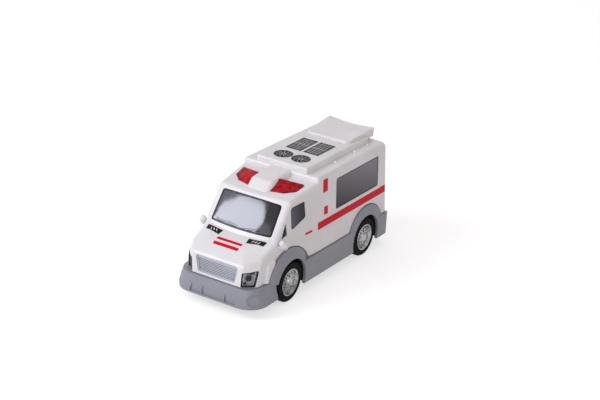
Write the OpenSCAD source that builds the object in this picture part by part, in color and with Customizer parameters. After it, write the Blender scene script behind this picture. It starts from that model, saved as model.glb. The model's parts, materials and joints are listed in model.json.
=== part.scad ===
// Toy ambulance with a friction drive: a white upper body on a grey lower body and a black chassis,
// smoked windows, two red beacons and four chromed wheels on two steel axles.
// X points to the front, Y to the left and Z up. The origin is on the ground under the middle.

/* [Overall] */
// Length from the front bumper to the back bumper
overall_len = 209; // [206:0.5:213]
// Width over the lower body
skirt_w = 82.8; // [82:0.1:85]
// Height of the lower edge of the lower body above the ground
ground_gap = 9.5; // [9:0.1:10.5]

/* [Wheels] */
// Outer radius of a tyre, which is also the height of the axles
tyre_r = 17.2; // [16.8:0.1:17.8]
// Width of a tyre
tyre_w = 11; // [10:0.1:11.6]
// Radius of the rounded shoulder of a tyre
tyre_shoulder = 1.8; // [0.8:0.1:2.5]
// Width and depth of a groove around the tread
groove = 0.9; // [0.4:0.1:1.4]
// Number of grooves around the tread
grooves = 3; // [2:1:4]
// Radius of a rim
rim_r = 11.8; // [11:0.1:12.4]
// Wall of a rim
rim_wall = 1.4; // [1:0.1:1.8]
// Depth of the dish in the face of a rim
rim_dish = 2.2; // [1.4:0.1:2.8]
// Radius of the cap in the middle of a rim
cap_r = 4.2; // [3.8:0.1:4.6]
// Radius of a hole in the disc of a rim
rim_hole_r = 0.8; // [0.5:0.05:1]
// Number of holes in the disc of a rim
rim_holes = 14; // [8:1:16]
// Radius of a wheel nut
nut_r = 0.7; // [0.4:0.05:0.8]
// Number of wheel nuts on a rim
nuts = 5; // [3:1:6]
// Radius of an axle
axle_r = 1.5; // [1.3:0.05:1.6]
// Distance from the front bumper back to the front axle
front_overhang = 53.2; // [52:0.2:55]
// Distance from the back bumper forward to the rear axle
rear_overhang = 40; // [38.6:0.2:41.6]
// Distance from the side of the lower body in to the outer face of a tyre
wheel_set = 1.2; // [0.6:0.1:2]

/* [Lower body] */
// Height of the top of the sill above the ground
sill_h = 30; // [29:0.2:31]
// Height of the top of the front bumper above the ground
bumper_h = 25; // [24:0.2:26]
// Gap between a tyre and its arch
arch_gap = 3.4; // [2.8:0.1:3.8]
// Width of the flared band around an arch
arch_band = 9; // [8:0.2:9.6]
// Wall of the lower body
skirt_wall = 2.4; // [2:0.1:2.6]
// Width of the flange that carries the upper body
flange_w = 8.4; // [7.8:0.1:9]
// Thickness of the flange
flange_t = 1.6; // [1.2:0.1:2]
// Radius of a front corner seen from above
corner_front_r = 17; // [15:0.5:19]
// Radius of a back corner seen from above
corner_back_r = 7; // [6:0.5:9]
// Draft of the front bumper, from its foot in to its upper edge
bumper_draft = 3.4; // [2.8:0.1:3.8]
// Rise of the upper edge of the bumper from the nose to the arch
bumper_rise = 2; // [1:0.1:3]
// Width of the flat lip around an arch
arch_lip = 1.5; // [1:0.1:2]
// Drop of the upper edge at the back corner
tail_drop = 4; // [2:0.2:5]
// Depth of the panel in the front bumper
panel_depth = 1.4; // [0.5:0.1:1.6]
// Half width of that panel
panel_half = 21; // [18:0.5:24]
// Height of that panel
panel_h = 8; // [6:0.2:9]
// Distance of that panel above the lower edge
panel_up = 1.6; // [1:0.1:3]
// Half distance between the two ribs on that panel
rib_half = 11.2; // [8:0.2:14]
// Width of such a rib
rib_w = 1; // [0.6:0.1:1.6]
// Radius of the round fog-lamp dish at a front corner
fog_r = 5; // [4:0.1:5.5]
// Depth of that dish
fog_depth = 1; // [0.6:0.1:1.2]

/* [Upper body] */
// Distance from the side of the lower body in to the upper body at the sill
body_set = 1.25; // [0.9:0.05:1.5]
// Lean of the sides in degrees
body_lean = 2.67; // [2:0.1:3.4]
// Taper of the cab and hood seen from above, in degrees
cab_taper = 3.7; // [3:0.1:4.2]
// Wall of the upper body
body_wall = 1.8; // [1.5:0.1:2]
// Height of the roof of the box above the ground
roof_h = 95.5; // [93:0.5:98]
// Radius along the edges of the box
edge_r = 5.5; // [4.5:0.1:6.5]
// Radius at the front edge of the box
step_r = 2.5; // [1.8:0.1:3]
// Distance from the front bumper back to the nose
nose_set = 4.7; // [4:0.1:5.4]
// Distance from the back bumper forward to the foot of the box
back_set = 3; // [2.4:0.1:3.6]
// Lean of the back of the box, over its height
back_lean = 2.6; // [1:0.1:4]
// Length of the hood
hood_len = 31.5; // [30:0.2:33]
// Height of the hood at the foot of the windscreen
hood_back_h = 58.3; // [57:0.2:59.5]
// Rise of the hood behind the foot of the windscreen
hood_rise = 1.2; // [0.6:0.1:1.8]
// Height of the hood at its middle
hood_mid_h = 52.6; // [51.6:0.1:53.4]
// Height of the side edge of the hood
hood_edge_h = 49.6; // [48.6:0.1:50.6]
// Height of the top of the nose
nose_h = 46; // [45.4:0.1:47]
// Half width of the flat face of the nose
nose_half = 23; // [22:0.2:24]
// Radius along the edges of the hood
hood_r = 5; // [4.4:0.1:5.4]
// Distance from the nose back to the bend of the front corner
corner_run = 11.3; // [10:0.1:12.5]
// Distance from the nose back to the middle of the hood
mid_run = 15.8; // [14.6:0.1:17]
// Distance the windscreen leans back
screen_run = 18; // [17:0.2:19]
// Height of the top of the windscreen
screen_top_h = 84.5; // [83.6:0.1:85.4]
// Bow of the windscreen, middle ahead of the corners
screen_bow = 3.3; // [2.4:0.1:4]
// Radius along the edges of the cab
cab_r = 4; // [3.4:0.1:4.6]
// Length of the cab from the foot of the windscreen to the box
cab_len = 55.3; // [54:0.2:57]
// Height of the cab roof at the box
cab_back_h = 92; // [91:0.1:92.8]
// Bulge of the front fender
fender_bulge = 1.9; // [1.4:0.1:2.2]
// Radius along the edges of the fender bulge
fender_r = 3; // [2.5:0.1:3.5]

/* [Roof] */
// Height of the raised deck above the roof
deck_rise = 5; // [4:0.2:6]
// Half width of the deck
deck_half = 25; // [24:0.2:26]
// Distance from the foot of the back of the box forward to the back of the deck
deck_set = 15.2; // [13:0.2:17]
// Radius along the edges of the deck
deck_r = 1.6; // [1:0.1:2.4]
// Half width of the fairing between the beacons
fairing_half = 11.4; // [11:0.1:12]
// Radius along the edges of the fairing
fairing_r = 4; // [3:0.1:4.4]
// Height of the fairing above the roof of the box at its back
fairing_rise = 1; // [0.4:0.1:2]
// Radius of a small marker nub on the roof
nub_r = 1.3; // [0.8:0.1:1.8]
// Length of the roof pod
pod_len = 41; // [38:0.5:44]
// Half width of the roof pod
pod_half = 22.8; // [21:0.2:24]
// Height of the front lip of the pod above the deck
pod_lip = 2; // [0.8:0.1:2.4]
// Height of the horns of the pod above the deck
pod_horn = 4.4; // [3.6:0.1:5.4]
// Depth of the hollow between the horns
pod_hollow = 1.8; // [1:0.1:2.4]
// Gap between the roof and the overhanging end of the pod
pod_gap = 1.6; // [1:0.1:2.2]
// Radius along the edges of a beacon lens
lens_r = 1; // [0.6:0.1:1.4]
// Wall of a beacon lens
lens_wall = 1.2; // [0.8:0.1:1.6]
// Height of a beacon lens above the cab roof at its back
lens_h = 5; // [4:0.1:5.6]
// Height of a beacon lens above the cab roof at its outer back corner
lens_low = 1.8; // [1:0.1:2.4]

/* [Windows and lamps] */
// Thickness of a window
pane_t = 1.2; // [0.8:0.1:1.5]
// Depth of a window below the surface of the body
pane_set = 0.4; // [0.2:0.05:0.6]
// Corner radius of a window
pane_r = 2.2; // [1.2:0.1:3]
// Half width of the windscreen at its foot
screen_low = 29.8; // [29:0.1:30.2]
// Half width of the windscreen at its top
screen_high = 28.9; // [28:0.1:29.4]
// Length of the windscreen along its slope
screen_len = 29; // [28:0.1:29.6]
// Drop of the lower edge of the windscreen at its middle
screen_sag = 1.8; // [1:0.1:2.2]
// Distance of the lower corners above the hood
screen_up = 1.4; // [1:0.1:1.8]
// Half width of the grille at its top
grille_high = 21; // [19:0.1:21.6]
// Half width of the grille at its foot
grille_low = 18; // [16:0.1:19]
// Height of the grille
grille_h = 14.6; // [12:0.1:15]
// Distance of the grille above the bumper
grille_up = 2.9; // [2.5:0.1:3.5]
// Depth of the grille below the face of the nose
grille_set = 0.6; // [0.3:0.05:0.8]
// Half width of a headlamp across the corner
lamp_half = 7.2; // [6.6:0.1:7.6]
// Height of a headlamp
lamp_h = 13; // [12.2:0.1:13.6]
// Distance of a headlamp above the bumper
lamp_up = 0.7; // [0.6:0.1:1]
// Distance of a headlamp from the middle plane to its own middle
lamp_out = 28.5; // [28:0.1:29]
// Thickness of the reflector behind a headlamp
mirror_t = 1; // [0.6:0.1:1.4]
// Width of a tail lamp
tail_w = 7; // [5:0.1:8]
// Height of a tail lamp
tail_h = 24; // [20:0.5:28]
// Distance a tail lamp stands out of the body
tail_proud = 0.8; // [0.4:0.1:1.2]
// Width of a window in a back door
back_pane_w = 24; // [20:0.5:26]

/* [Trim] */
// Thickness of a sticker
sticker_t = 0.15; // [0.1:0.01:0.25]
// Radius of a fan sticker on the roof
fan_r = 8.2; // [7:0.1:9]
// Length of a grid sticker on the roof
grid_len = 28; // [25:0.5:31]
// Width of a grid sticker on the roof
grid_w = 15; // [13:0.2:17]
// Distance of the roof stickers from the middle plane
sticker_gap = 1.2; // [0.6:0.1:1.6]
// Height of a door handle
handle_h = 1.3; // [0.9:0.1:1.8]
// Distance a door handle stands out of the body
handle_proud = 0.6; // [0.4:0.1:1]
// Reach of a mirror beyond the lower body
mirror_reach = 2; // [1.4:0.1:3]
// Radius of the head of a mirror
mirror_r = 2.8; // [2.2:0.1:3.2]
// Height of the top and foot of a mirror's head above and below its middle, less their rounding
mirror_rise = 1.7; // [1.2:0.1:2.2]
// Radius of the arm of a mirror
mirror_arm_r = 1.2; // [0.9:0.1:1.5]

/* [Chassis] */
// Thickness of the chassis plate
plate_t = 2; // [1.6:0.1:2.4]
// Height of the plate above the lower edge of the lower body
plate_up = 1.5; // [1.2:0.1:1.8]
// Wall of a wheel well
well_wall = 1.5; // [1.2:0.1:1.8]
// Thickness of the wall that carries an axle
bearing_t = 2.4; // [1.8:0.1:3]
// Gap between a tyre and the wall behind it
well_gap = 1.4; // [1:0.1:2]
// Distance from the foot of the back of the box forward to the back screw posts
post_back_set = 9.2; // [8:0.2:10.4]
// Radius of a screw post
post_r = 3.2; // [2.8:0.1:3.6]
// Height of the boss on the plate under a screw post
boss_h = 1.5; // [1.2:0.1:2]
// Radius of a screw shank
screw_r = 1.2; // [1:0.05:1.3]
// Radius of a screw head
screw_head_r = 2.3; // [2:0.1:2.6]
// Height of a screw head
screw_head_h = 1.3; // [1:0.1:1.4]
// Length of a screw shank
screw_len = 9; // [7:0.2:11]

/* [Friction drive] */
// Module of the gears
gear_m = 0.6; // [0.58:0.01:0.62]
// Teeth of a large gear
big_teeth = 24; // [23:1:25]
// Teeth of a small gear
small_teeth = 12; // [12:1:13]
// Face width of a gear
gear_w = 4; // [3:0.1:4.4]
// Angle of the idler above the rear axle, in degrees
idler_angle = 35; // [30:1:40]
// Angle of the flywheel above the idler, in degrees
flywheel_angle = 20; // [15:1:25]
// Thickness of the flywheel
flywheel_t = 4.7; // [4:0.1:5]
// Radius of the idler pin and of the flywheel shaft
pin_r = 1; // [0.8:0.05:1.1]
// Wall of the gearbox
box_wall = 1.2; // [1:0.1:1.4]
// Height of a gearbox foot
foot_h = 5; // [4.4:0.1:5.6]
// Length of a gearbox foot
foot_len = 6.5; // [6:0.1:7.5]
// Radius of a gearbox screw
box_screw_r = 0.9; // [0.7:0.05:1]

/* [Fits] */
// Clearance around a piece set into an opening
fit = 0.1; // [0.06:0.01:0.15]
// Radial clearance of a shaft that turns in its bearing
run_fit = 0.05; // [0.03:0.005:0.08]
// Radial clearance of a piece pressed onto a shaft
press_fit = 0.02; // [0.01:0.005:0.03]
// Gap beside a moving piece
move_gap = 0.5; // [0.4:0.05:0.6]
// Thinning of each gear tooth for free running
backlash = 0.07; // [0.05:0.01:0.09]
// Overrun of a cut past the face it opens
over = 1; // [0.8:0.1:1.5]

/* [Hidden] */

ball_fn = 24;
inner_fn = 16;
round_fn = 64;
fine_fn = 32;
corner_steps = 6;

front_x = overall_len / 2;
back_x = -overall_len / 2;
skirt_half = skirt_w / 2;
axle_z = tyre_r;
front_axle_x = front_x - front_overhang;
rear_axle_x = back_x + rear_overhang;
arch_open_r = tyre_r + arch_gap;
arch_r = arch_open_r + arch_band;
skirt_in = skirt_half - skirt_wall;
plate_z = ground_gap + plate_up;
plate_top = plate_z + plate_t;

// Main stations of the upper body
nose_x = front_x - nose_set;
body_back_x = back_x + back_set;
screen_base_x = nose_x - hood_len;
screen_top_x = screen_base_x - screen_run;
box_front = screen_base_x - cab_len;
taper_x = box_front - step_r;
low_z = plate_top + step_r;
body_half = skirt_half - body_set;
body_h = roof_h - sill_h;
cab_h = screen_top_h - sill_h;
box_len = box_front - body_back_x;
wide_share = 1.4;
wide = skirt_w * wide_share;
tall = roof_h + deck_rise + pod_horn;

// Windscreen plane: direction up the slope and direction out of it, in X and Z
slope = [screen_top_x - screen_base_x, screen_top_h - hood_back_h];
screen_u = slope / norm(slope);
screen_n = [screen_u[1], -screen_u[0]];
screen_top = [screen_top_x, screen_top_h] - cab_r * screen_n;
screen_foot = [screen_base_x, hood_back_h] - cab_r * screen_n - cab_r * screen_u;
bow_shares = [-1, -0.75, -0.5, -0.25, 0, 0.25, 0.5, 0.75, 1];

// Side of the upper body at a place along it and a height
function flank(x, z) = body_half - (z - sill_h) * tan(body_lean) - max(0, x - taper_x) * tan(cab_taper);
// Distance of the centre of a ball of radius r from the middle plane when it touches that side
function flank_in(x, z, r) = flank(x, z)
    - r * sqrt(1 + pow(tan(body_lean), 2) + (x > taper_x ? pow(tan(cab_taper), 2) : 0));
function ball(x, z, r) = [x, flank_in(x, z, r), z, r];
function mirrored(balls) = concat(balls, [for (b = balls) [b[0], -b[1], b[2], b[3]]]);

box_balls = mirrored([
    ball(body_back_x + back_lean + edge_r, roof_h - edge_r, edge_r),
    ball(body_back_x + edge_r, low_z, edge_r),
    ball(taper_x, roof_h - step_r, step_r),
    ball(taper_x, low_z, step_r)]);

function bowed(c, s) = [c[0] + screen_bow * (1 - s * s), s * flank_in(c[0], c[1], cab_r), c[1], cab_r];
cab_balls = concat(
    [for (s = bow_shares) bowed(screen_top, s)],
    [for (s = bow_shares) bowed(screen_foot, s)],
    mirrored([
        ball(taper_x, cab_back_h - cab_r, cab_r),
        ball(taper_x, low_z, cab_r),
        ball(screen_foot[0], low_z, cab_r)]));

mid_share = 0.52;
hood_balls = mirrored([
    ball(screen_base_x - hood_r, hood_back_h + hood_rise - hood_r, hood_r),
    ball(screen_base_x - hood_r, low_z, hood_r),
    ball(nose_x - mid_run, hood_edge_h - hood_r, hood_r),
    [nose_x - mid_run, mid_share * flank(nose_x - mid_run, hood_mid_h), hood_mid_h - hood_r, hood_r],
    ball(nose_x - corner_run, bumper_h + corner_run, hood_r),
    ball(nose_x - corner_run, low_z, hood_r),
    [nose_x - hood_r, nose_half, nose_h - hood_r, hood_r],
    [nose_x - hood_r, nose_half, low_z, hood_r]]);

// Fender bulge between the arch and the headlamp: shares of the hood length behind the nose, heights
fender_back_share = 0.88;
fender_mid_share = 0.7;
fender_low_share = 0.55;
fender_up_share = 0.18;
fender_down_share = 0.14;
function bulge(share, z) = [nose_x - share * hood_len,
    flank(nose_x - share * hood_len, z) - fender_r + fender_bulge, z, fender_r];
fender_balls = [
    bulge(fender_back_share, sill_h + fender_up_share * body_h),
    bulge(fender_mid_share, sill_h + fender_down_share * body_h),
    bulge(fender_low_share, low_z),
    bulge(fender_back_share, low_z)];

// Fairing: from the top of the windscreen up to the roof of the box
fairing_foot_share = 0.94;
fairing_crest_share = 0.66;
fairing_drop_share = 0.22;
fairing_in = fairing_half - fairing_r;
cab_top_len = screen_top_x - box_front;
crest_h = roof_h + fairing_rise - fairing_drop_share * (roof_h - screen_top_h);
fairing_balls = mirrored([
    [box_front + fairing_foot_share * cab_top_len, fairing_in, screen_top_h - fairing_r, fairing_r],
    [box_front + fairing_crest_share * cab_top_len, fairing_in, crest_h - fairing_r, fairing_r],
    [box_front - fairing_r, fairing_in, roof_h + fairing_rise - fairing_r, fairing_r],
    [box_front - fairing_r, fairing_in, screen_top_h - fairing_r, fairing_r]]);

deck_front = box_front - step_r / 2;
deck_back = body_back_x + deck_set;
deck_z = roof_h + deck_rise;
deck_balls = mirrored([
    [deck_front - deck_r, deck_half - deck_r, deck_z - deck_r, deck_r],
    [deck_back + deck_r, deck_half - deck_r, deck_z - deck_r, deck_r],
    [deck_front - deck_r, deck_half - deck_r, roof_h - deck_r, deck_r],
    [deck_back + deck_r, deck_half - deck_r, roof_h - deck_r, deck_r]]);

module ball_hull(balls, grow, fn) {
    hull()
        for (b = balls)
            translate([b[0], b[1], b[2]])
                sphere(r = b[3] + grow, $fn = fn);
}

// Upper body as a full solid, its surface moved out by grow
module body_solid(grow, fn = ball_fn) {
    ball_hull(box_balls, grow, fn);
    ball_hull(cab_balls, grow, fn);
    ball_hull(hood_balls, grow, fn);
    ball_hull(fairing_balls, grow, fn);
    ball_hull(fender_balls, grow, fn);
    mirror([0, 1, 0])
        ball_hull(fender_balls, grow, fn);
}

// Layer of the upper body between two depths below its surface
module skin(outer, inner) {
    difference() {
        body_solid(-outer);
        body_solid(-inner);
    }
}

function unit(v) = v / norm(v);
// Arc that rounds the corner at b between a and c
function corner(a, b, c, r) =
    let (u = unit(a - b), v = unit(c - b), half = acos(u * v) / 2)
    let (m = b + unit(u + v) * r / sin(half))
    let (p = b + u * r / tan(half) - m, q = b + v * r / tan(half) - m)
    let (from = atan2(p[1], p[0]), turn = atan2(q[1], q[0]) - from)
    let (sweep = turn > 180 ? turn - 360 : turn < -180 ? turn + 360 : turn)
    [for (i = [0:corner_steps]) let (a = from + sweep * i / corner_steps) m + r * [cos(a), sin(a)]];
// Outline with each corner rounded by its own radius
function rounded(pts, radii) = let (n = len(pts))
    [for (i = [0:n - 1]) each radii[i] > 0
        ? corner(pts[(i + n - 1) % n], pts[i], pts[(i + 1) % n], radii[i]) : [pts[i]]];
function same(pts, r) = [for (p = pts) r];
function box_outline(x0, x1, z0, z1) = [[x0, z0], [x1, z0], [x1, z1], [x0, z1]];
function box_between(a, b) = box_outline(a[0], b[0], a[1], b[1]);

// Flat shape in X and Z, carried across the full width
module across(w) {
    rotate([90, 0, 0])
        linear_extrude(w, center = true)
            children();
}

// Flat shape in X and Z, carried out from the middle plane to the left
module to_left(w) {
    translate([0, w, 0])
        rotate([90, 0, 0])
            linear_extrude(w)
                children();
}

// Flat shape in Y and Z, carried along X from x0 to x1
module along(x0, x1) {
    translate([x0, 0, 0])
        rotate([90, 0, 90])
            linear_extrude(x1 - x0)
                children();
}

module right() {
    mirror([0, 1, 0])
        children();
}

// Outline of the lower body seen from above, moved in by inset
module plan(inset) {
    x0 = back_x + inset;
    x1 = front_x - inset;
    y = skirt_half - inset;
    polygon(rounded([[x0, -y], [x1, -y], [x1, y], [x0, y]],
        [for (r = [corner_back_r, corner_front_r, corner_front_r, corner_back_r]) max(r - inset, fit)]));
}

// Outline of the lower body seen from the side, moved in by inset
module side_view(inset) {
    sill_view(inset);
    intersection() {
        for (x = [front_axle_x, rear_axle_x])
            translate([x, axle_z])
                circle(arch_r - inset, $fn = round_fn);
        translate([back_x, ground_gap])
            square([overall_len, tall]);
    }
}

// The same without the arches
module sill_view(inset) {
    top = sill_h - inset;
    polygon([
        [back_x, ground_gap],
        [back_x, top - tail_drop],
        [back_x + tail_drop, top],
        [front_axle_x, top],
        [front_axle_x, bumper_h + bumper_rise - inset],
        [front_x, bumper_h - inset],
        [front_x, ground_gap]]);
}

// Full block of the lower body behind and ahead of the front axle, moved in by inset
module sill_block(inset) {
    intersection() {
        linear_extrude(tall)
            plan(inset);
        translate([back_x, -skirt_half, 0])
            cube([front_axle_x - back_x, skirt_w, sill_h]);
    }
    intersection() {
        hull() {
            translate([0, 0, ground_gap])
                linear_extrude(plate_up + plate_t + move_gap)
                    plan(inset);
            translate([0, 0, bumper_h])
                linear_extrude(bumper_rise)
                    plan(inset + bumper_draft);
        }
        translate([front_axle_x, -skirt_half, 0])
            cube([overall_len, skirt_w, tall]);
    }
}

// Flared band over a wheel, with the rim of the flare at rim_y
module arch(x, rim_y) {
    in = arch_r - flange_t;
    lip_r = arch_open_r + arch_lip;
    intersection() {
        translate([x, 0, axle_z])
            rotate([-90, 0, 0])
                rotate_extrude($fn = round_fn)
                    polygon([
                        [arch_open_r, skirt_half], [lip_r, skirt_half], [arch_r, rim_y],
                        [arch_r, skirt_half - flange_w], [in, skirt_half - flange_w],
                        [in, rim_y - skirt_wall], [lip_r, skirt_in], [arch_open_r, skirt_in]]);
        translate([back_x, 0, bumper_h - flange_t])
            cube([overall_len, skirt_w, tall]);
    }
}

module arch_discs(r) {
    across(2 * skirt_in)
        for (x = [front_axle_x, rear_axle_x])
            translate([x, axle_z])
                circle(r, $fn = round_fn);
}

// Outlines of the openings in the upper body
door_shares = [[0.656, 0.933], [0.322, 0.943], [0.293, 0.679], [0.637, 0.568]];
quarter_shares = [[0.778, 0.743], [0.88, 0.505], [0.738, 0.536]];
side_shares = [[0.157, 0.449], [0.753, 0.449], [0.753, 0.866], [0.157, 0.866]];
quarter_round_share = 0.25;
function cab_at(s) = [box_front + s[0] * cab_len, sill_h + s[1] * cab_h];
function box_at(s) = [body_back_x + s[0] * box_len, sill_h + s[1] * body_h];
door_pts = [for (s = door_shares) cab_at(s)];
quarter_pts = [for (s = quarter_shares) cab_at(s)];
side_pts = [for (s = side_shares) box_at(s)];

module door_shape(gap) {
    offset(delta = -gap)
        polygon(rounded(door_pts, same(door_pts, pane_r)));
}

module quarter_shape(gap) {
    offset(delta = -gap)
        polygon(rounded(quarter_pts, same(quarter_pts, pane_r * quarter_round_share)));
}

module side_shape(gap) {
    offset(delta = -gap)
        polygon(rounded(side_pts, same(side_pts, pane_r)));
}

// Windscreen opening in its own plane: across, and up the slope
module screen_shape(gap) {
    foot = [for (s = bow_shares) [s * screen_low, screen_up - screen_sag * (1 - s * s)]];
    head = [[screen_high, screen_len], [-screen_high, screen_len]];
    n = len(foot);
    pts = concat(foot, head);
    offset(delta = -gap)
        polygon(rounded(pts, [for (i = [0:n + 1]) i == 0 || i >= n - 1 ? pane_r : 0]));
}

module on_screen(depth) {
    multmatrix([
        [0, screen_u[0], screen_n[0], screen_base_x],
        [1, 0, 0, 0],
        [0, screen_u[1], screen_n[1], hood_back_h],
        [0, 0, 0, 1]])
        translate([0, 0, -depth])
            linear_extrude(depth + screen_bow + over)
                children();
}

// Grille opening seen from the front
module grille_shape(gap) {
    z0 = bumper_h + grille_up;
    z1 = z0 + grille_h;
    pts = [[-grille_low, z0], [grille_low, z0], [grille_high, z1], [-grille_high, z1]];
    offset(delta = -gap)
        polygon(rounded(pts, same(pts, pane_r)));
}

// Headlamp opening across the left front corner
lamp_shares = [[-1, 0], [0.63, 0.03], [1.03, 1.1], [-0.92, 0.98]];
lamp_depth = lamp_half;
lamp_x = nose_x + nose_half - lamp_out;

module lamp_shape(gap) {
    pts = [for (s = lamp_shares) [s[0] * lamp_half, bumper_h + lamp_up + s[1] * lamp_h]];
    offset(delta = -gap)
        polygon(rounded(pts, same(pts, pane_r / 2)));
}

module on_corner(depth) {
    translate([lamp_x, lamp_out, 0])
        rotate([90, 0, 135])
            translate([0, 0, -depth])
                linear_extrude(depth + lamp_depth)
                    children();
}

// Back windows and tail lamps seen from the back
back_low_share = 0.47;
back_high_share = 0.85;
back_gap_share = 0.1;
tail_up_share = 0.06;
tail_out_share = 0.82;

module back_pane_shape(gap) {
    y0 = back_gap_share * body_half;
    z0 = sill_h + back_low_share * body_h;
    z1 = sill_h + back_high_share * body_h;
    pts = box_outline(y0, y0 + back_pane_w, z0, z1);
    offset(delta = -gap)
        polygon(rounded(pts, same(pts, pane_r)));
}

module tail_shape(gap) {
    y0 = tail_out_share * body_half - tail_w / 2;
    z0 = sill_h + tail_up_share * body_h;
    pts = box_outline(y0, y0 + tail_w, z0, z0 + tail_h);
    offset(delta = -gap)
        polygon(rounded(pts, same(pts, pane_r / 2)));
}

module at_back() {
    along(back_x, body_back_x + back_lean + edge_r)
        children();
}

// Beacon lens on the left of the fairing
lens_front_share = 0.82;
lens_skew_share = 0.18;
lens_back_share = 0.46;
lens_out_share = 0.72;
lens_chamfer_share = 0.35;
lens_in_y = fairing_in + lens_r;
lens_out_y = lens_out_share * body_half;
roof_fall = (screen_top[1] + cab_r - cab_back_h) / (screen_top[0] - taper_x);
function roof_line(x) = cab_back_h + roof_fall * (x - taper_x);
function lens_ball(share, y, h) = let (x = box_front + share * cab_top_len)
    [x, y, roof_line(x) + h - lens_r, lens_r];
lens_mid_y = lens_out_y - lens_chamfer_share * (lens_out_y - lens_in_y);
lens_balls = [
    lens_ball(lens_front_share, lens_in_y, lens_r),
    lens_ball(lens_front_share - lens_skew_share / 2, lens_mid_y, lens_r),
    lens_ball(lens_front_share - lens_skew_share * 3 / 2, lens_out_y, lens_r / 2),
    lens_ball(lens_back_share, lens_in_y, lens_h),
    lens_ball(lens_back_share - lens_skew_share / 2, lens_mid_y, (lens_h + lens_low) / 2),
    lens_ball(lens_back_share - lens_skew_share, lens_out_y, lens_low),
    lens_ball(lens_front_share, lens_in_y, -cab_r),
    lens_ball(lens_back_share - lens_skew_share, lens_out_y, -cab_r),
    lens_ball(lens_back_share, lens_in_y, -cab_r)];

// Screw posts of the upper body
post_front_share = 0.43;
post_y_share = 0.52;
post_front_x = nose_x - post_front_share * hood_len - hood_r;
post_back_x = body_back_x + post_back_set;
post_z = plate_top + boss_h;
screw_seat = plate_z + screw_head_h + fit;
post_pts = [for (x = [post_front_x, post_back_x])
    for (s = [-1, 1]) [x, s * post_y_share * body_half]];

nub_shares = [0.2, 0.38, 0.65];
nub_y = (deck_half + flank(0, roof_h) - edge_r) / 2;

module upper_body() {
    color("white") {
        difference() {
            union() {
                body_solid(0);
                ball_hull(deck_balls, 0, ball_fn);
                for (s = nub_shares)
                    for (y = [-nub_y, nub_y])
                        translate([body_back_x + s * box_len, y, roof_h])
                            sphere(nub_r, $fn = inner_fn);
            }
            body_solid(-body_wall, inner_fn);
            translate([0, 0, -body_wall])
                ball_hull(deck_balls, -body_wall, inner_fn);
            across(wide)
                side_view(-press_fit);
            across(wide) {
                door_shape(0);
                quarter_shape(0);
                side_shape(0);
            }
            on_screen(cab_r)
                screen_shape(0);
            along(nose_x - hood_r, front_x)
                grille_shape(0);
            for (s = [0, 1])
                mirror([0, s, 0]) {
                    on_corner(lamp_depth)
                        lamp_shape(0);
                    at_back() {
                        back_pane_shape(0);
                        tail_shape(0);
                    }
                }
        }
        difference() {
            intersection() {
                body_solid(-body_wall / 2, inner_fn);
                for (p = post_pts)
                    translate([p[0], p[1], post_z])
                        cylinder(r = post_r, h = tall, $fn = fine_fn);
            }
            for (p = post_pts)
                translate([p[0], p[1], plate_z])
                    cylinder(r = screw_r + fit, h = screw_head_h + screw_len + over, $fn = fine_fn);
        }
    }
}

module lower_body() {
    panel_z = ground_gap + panel_up;
    mid_half = rib_half - rib_w / 2;
    fog_z = (ground_gap + bumper_h) / 2;
    draft_z = plate_top + move_gap;
    draft_h = bumper_h - draft_z;
    color("slategray")
        difference() {
            union() {
                intersection() {
                    difference() {
                        sill_block(0);
                        sill_block(skirt_wall);
                    }
                    across(wide)
                        sill_view(0);
                }
                difference() {
                    intersection() {
                        sill_block(0);
                        across(wide)
                            difference() {
                                sill_view(0);
                                sill_view(flange_t);
                            }
                    }
                    linear_extrude(tall)
                        plan(flange_w);
                    arch_discs(arch_r - flange_t);
                }
                for (s = [0, 1])
                    mirror([0, s, 0]) {
                        arch(front_axle_x, flank(front_axle_x, axle_z + arch_r) + body_set);
                        arch(rear_axle_x, flank(rear_axle_x, axle_z + arch_r) + body_set);
                    }
            }
            across(wide)
                for (x = [front_axle_x, rear_axle_x])
                    translate([x, axle_z])
                        circle(arch_open_r, $fn = round_fn);
            along(front_x - panel_depth, front_x + over)
                for (s = [-1, 1])
                    polygon([
                        [s * (rib_half + rib_w / 2), panel_z],
                        [s * (panel_half + panel_up), panel_z],
                        [s * panel_half, panel_z + panel_h],
                        [s * (rib_half + rib_w / 2), panel_z + panel_h]]);
            along(front_x - panel_depth, front_x + over)
                polygon(box_outline(-mid_half, mid_half, panel_z, panel_z + panel_h));
            for (s = [0, 1])
                mirror([0, s, 0])
                    translate([front_x - corner_front_r, skirt_half - corner_front_r, fog_z])
                        rotate([90, 0, 135])
                            translate([0, 0, corner_front_r - bumper_draft * (fog_z - draft_z) / draft_h])
                                rotate([-atan(bumper_draft / draft_h), 0, 0])
                                    translate([0, 0, -fog_depth])
                                        cylinder(r = fog_r, h = corner_front_r, $fn = round_fn);
        }
}

well_in = skirt_half - wheel_set - tyre_w - well_gap;
bearing_in = well_in - bearing_t;
well_out = skirt_in - fit;

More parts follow.
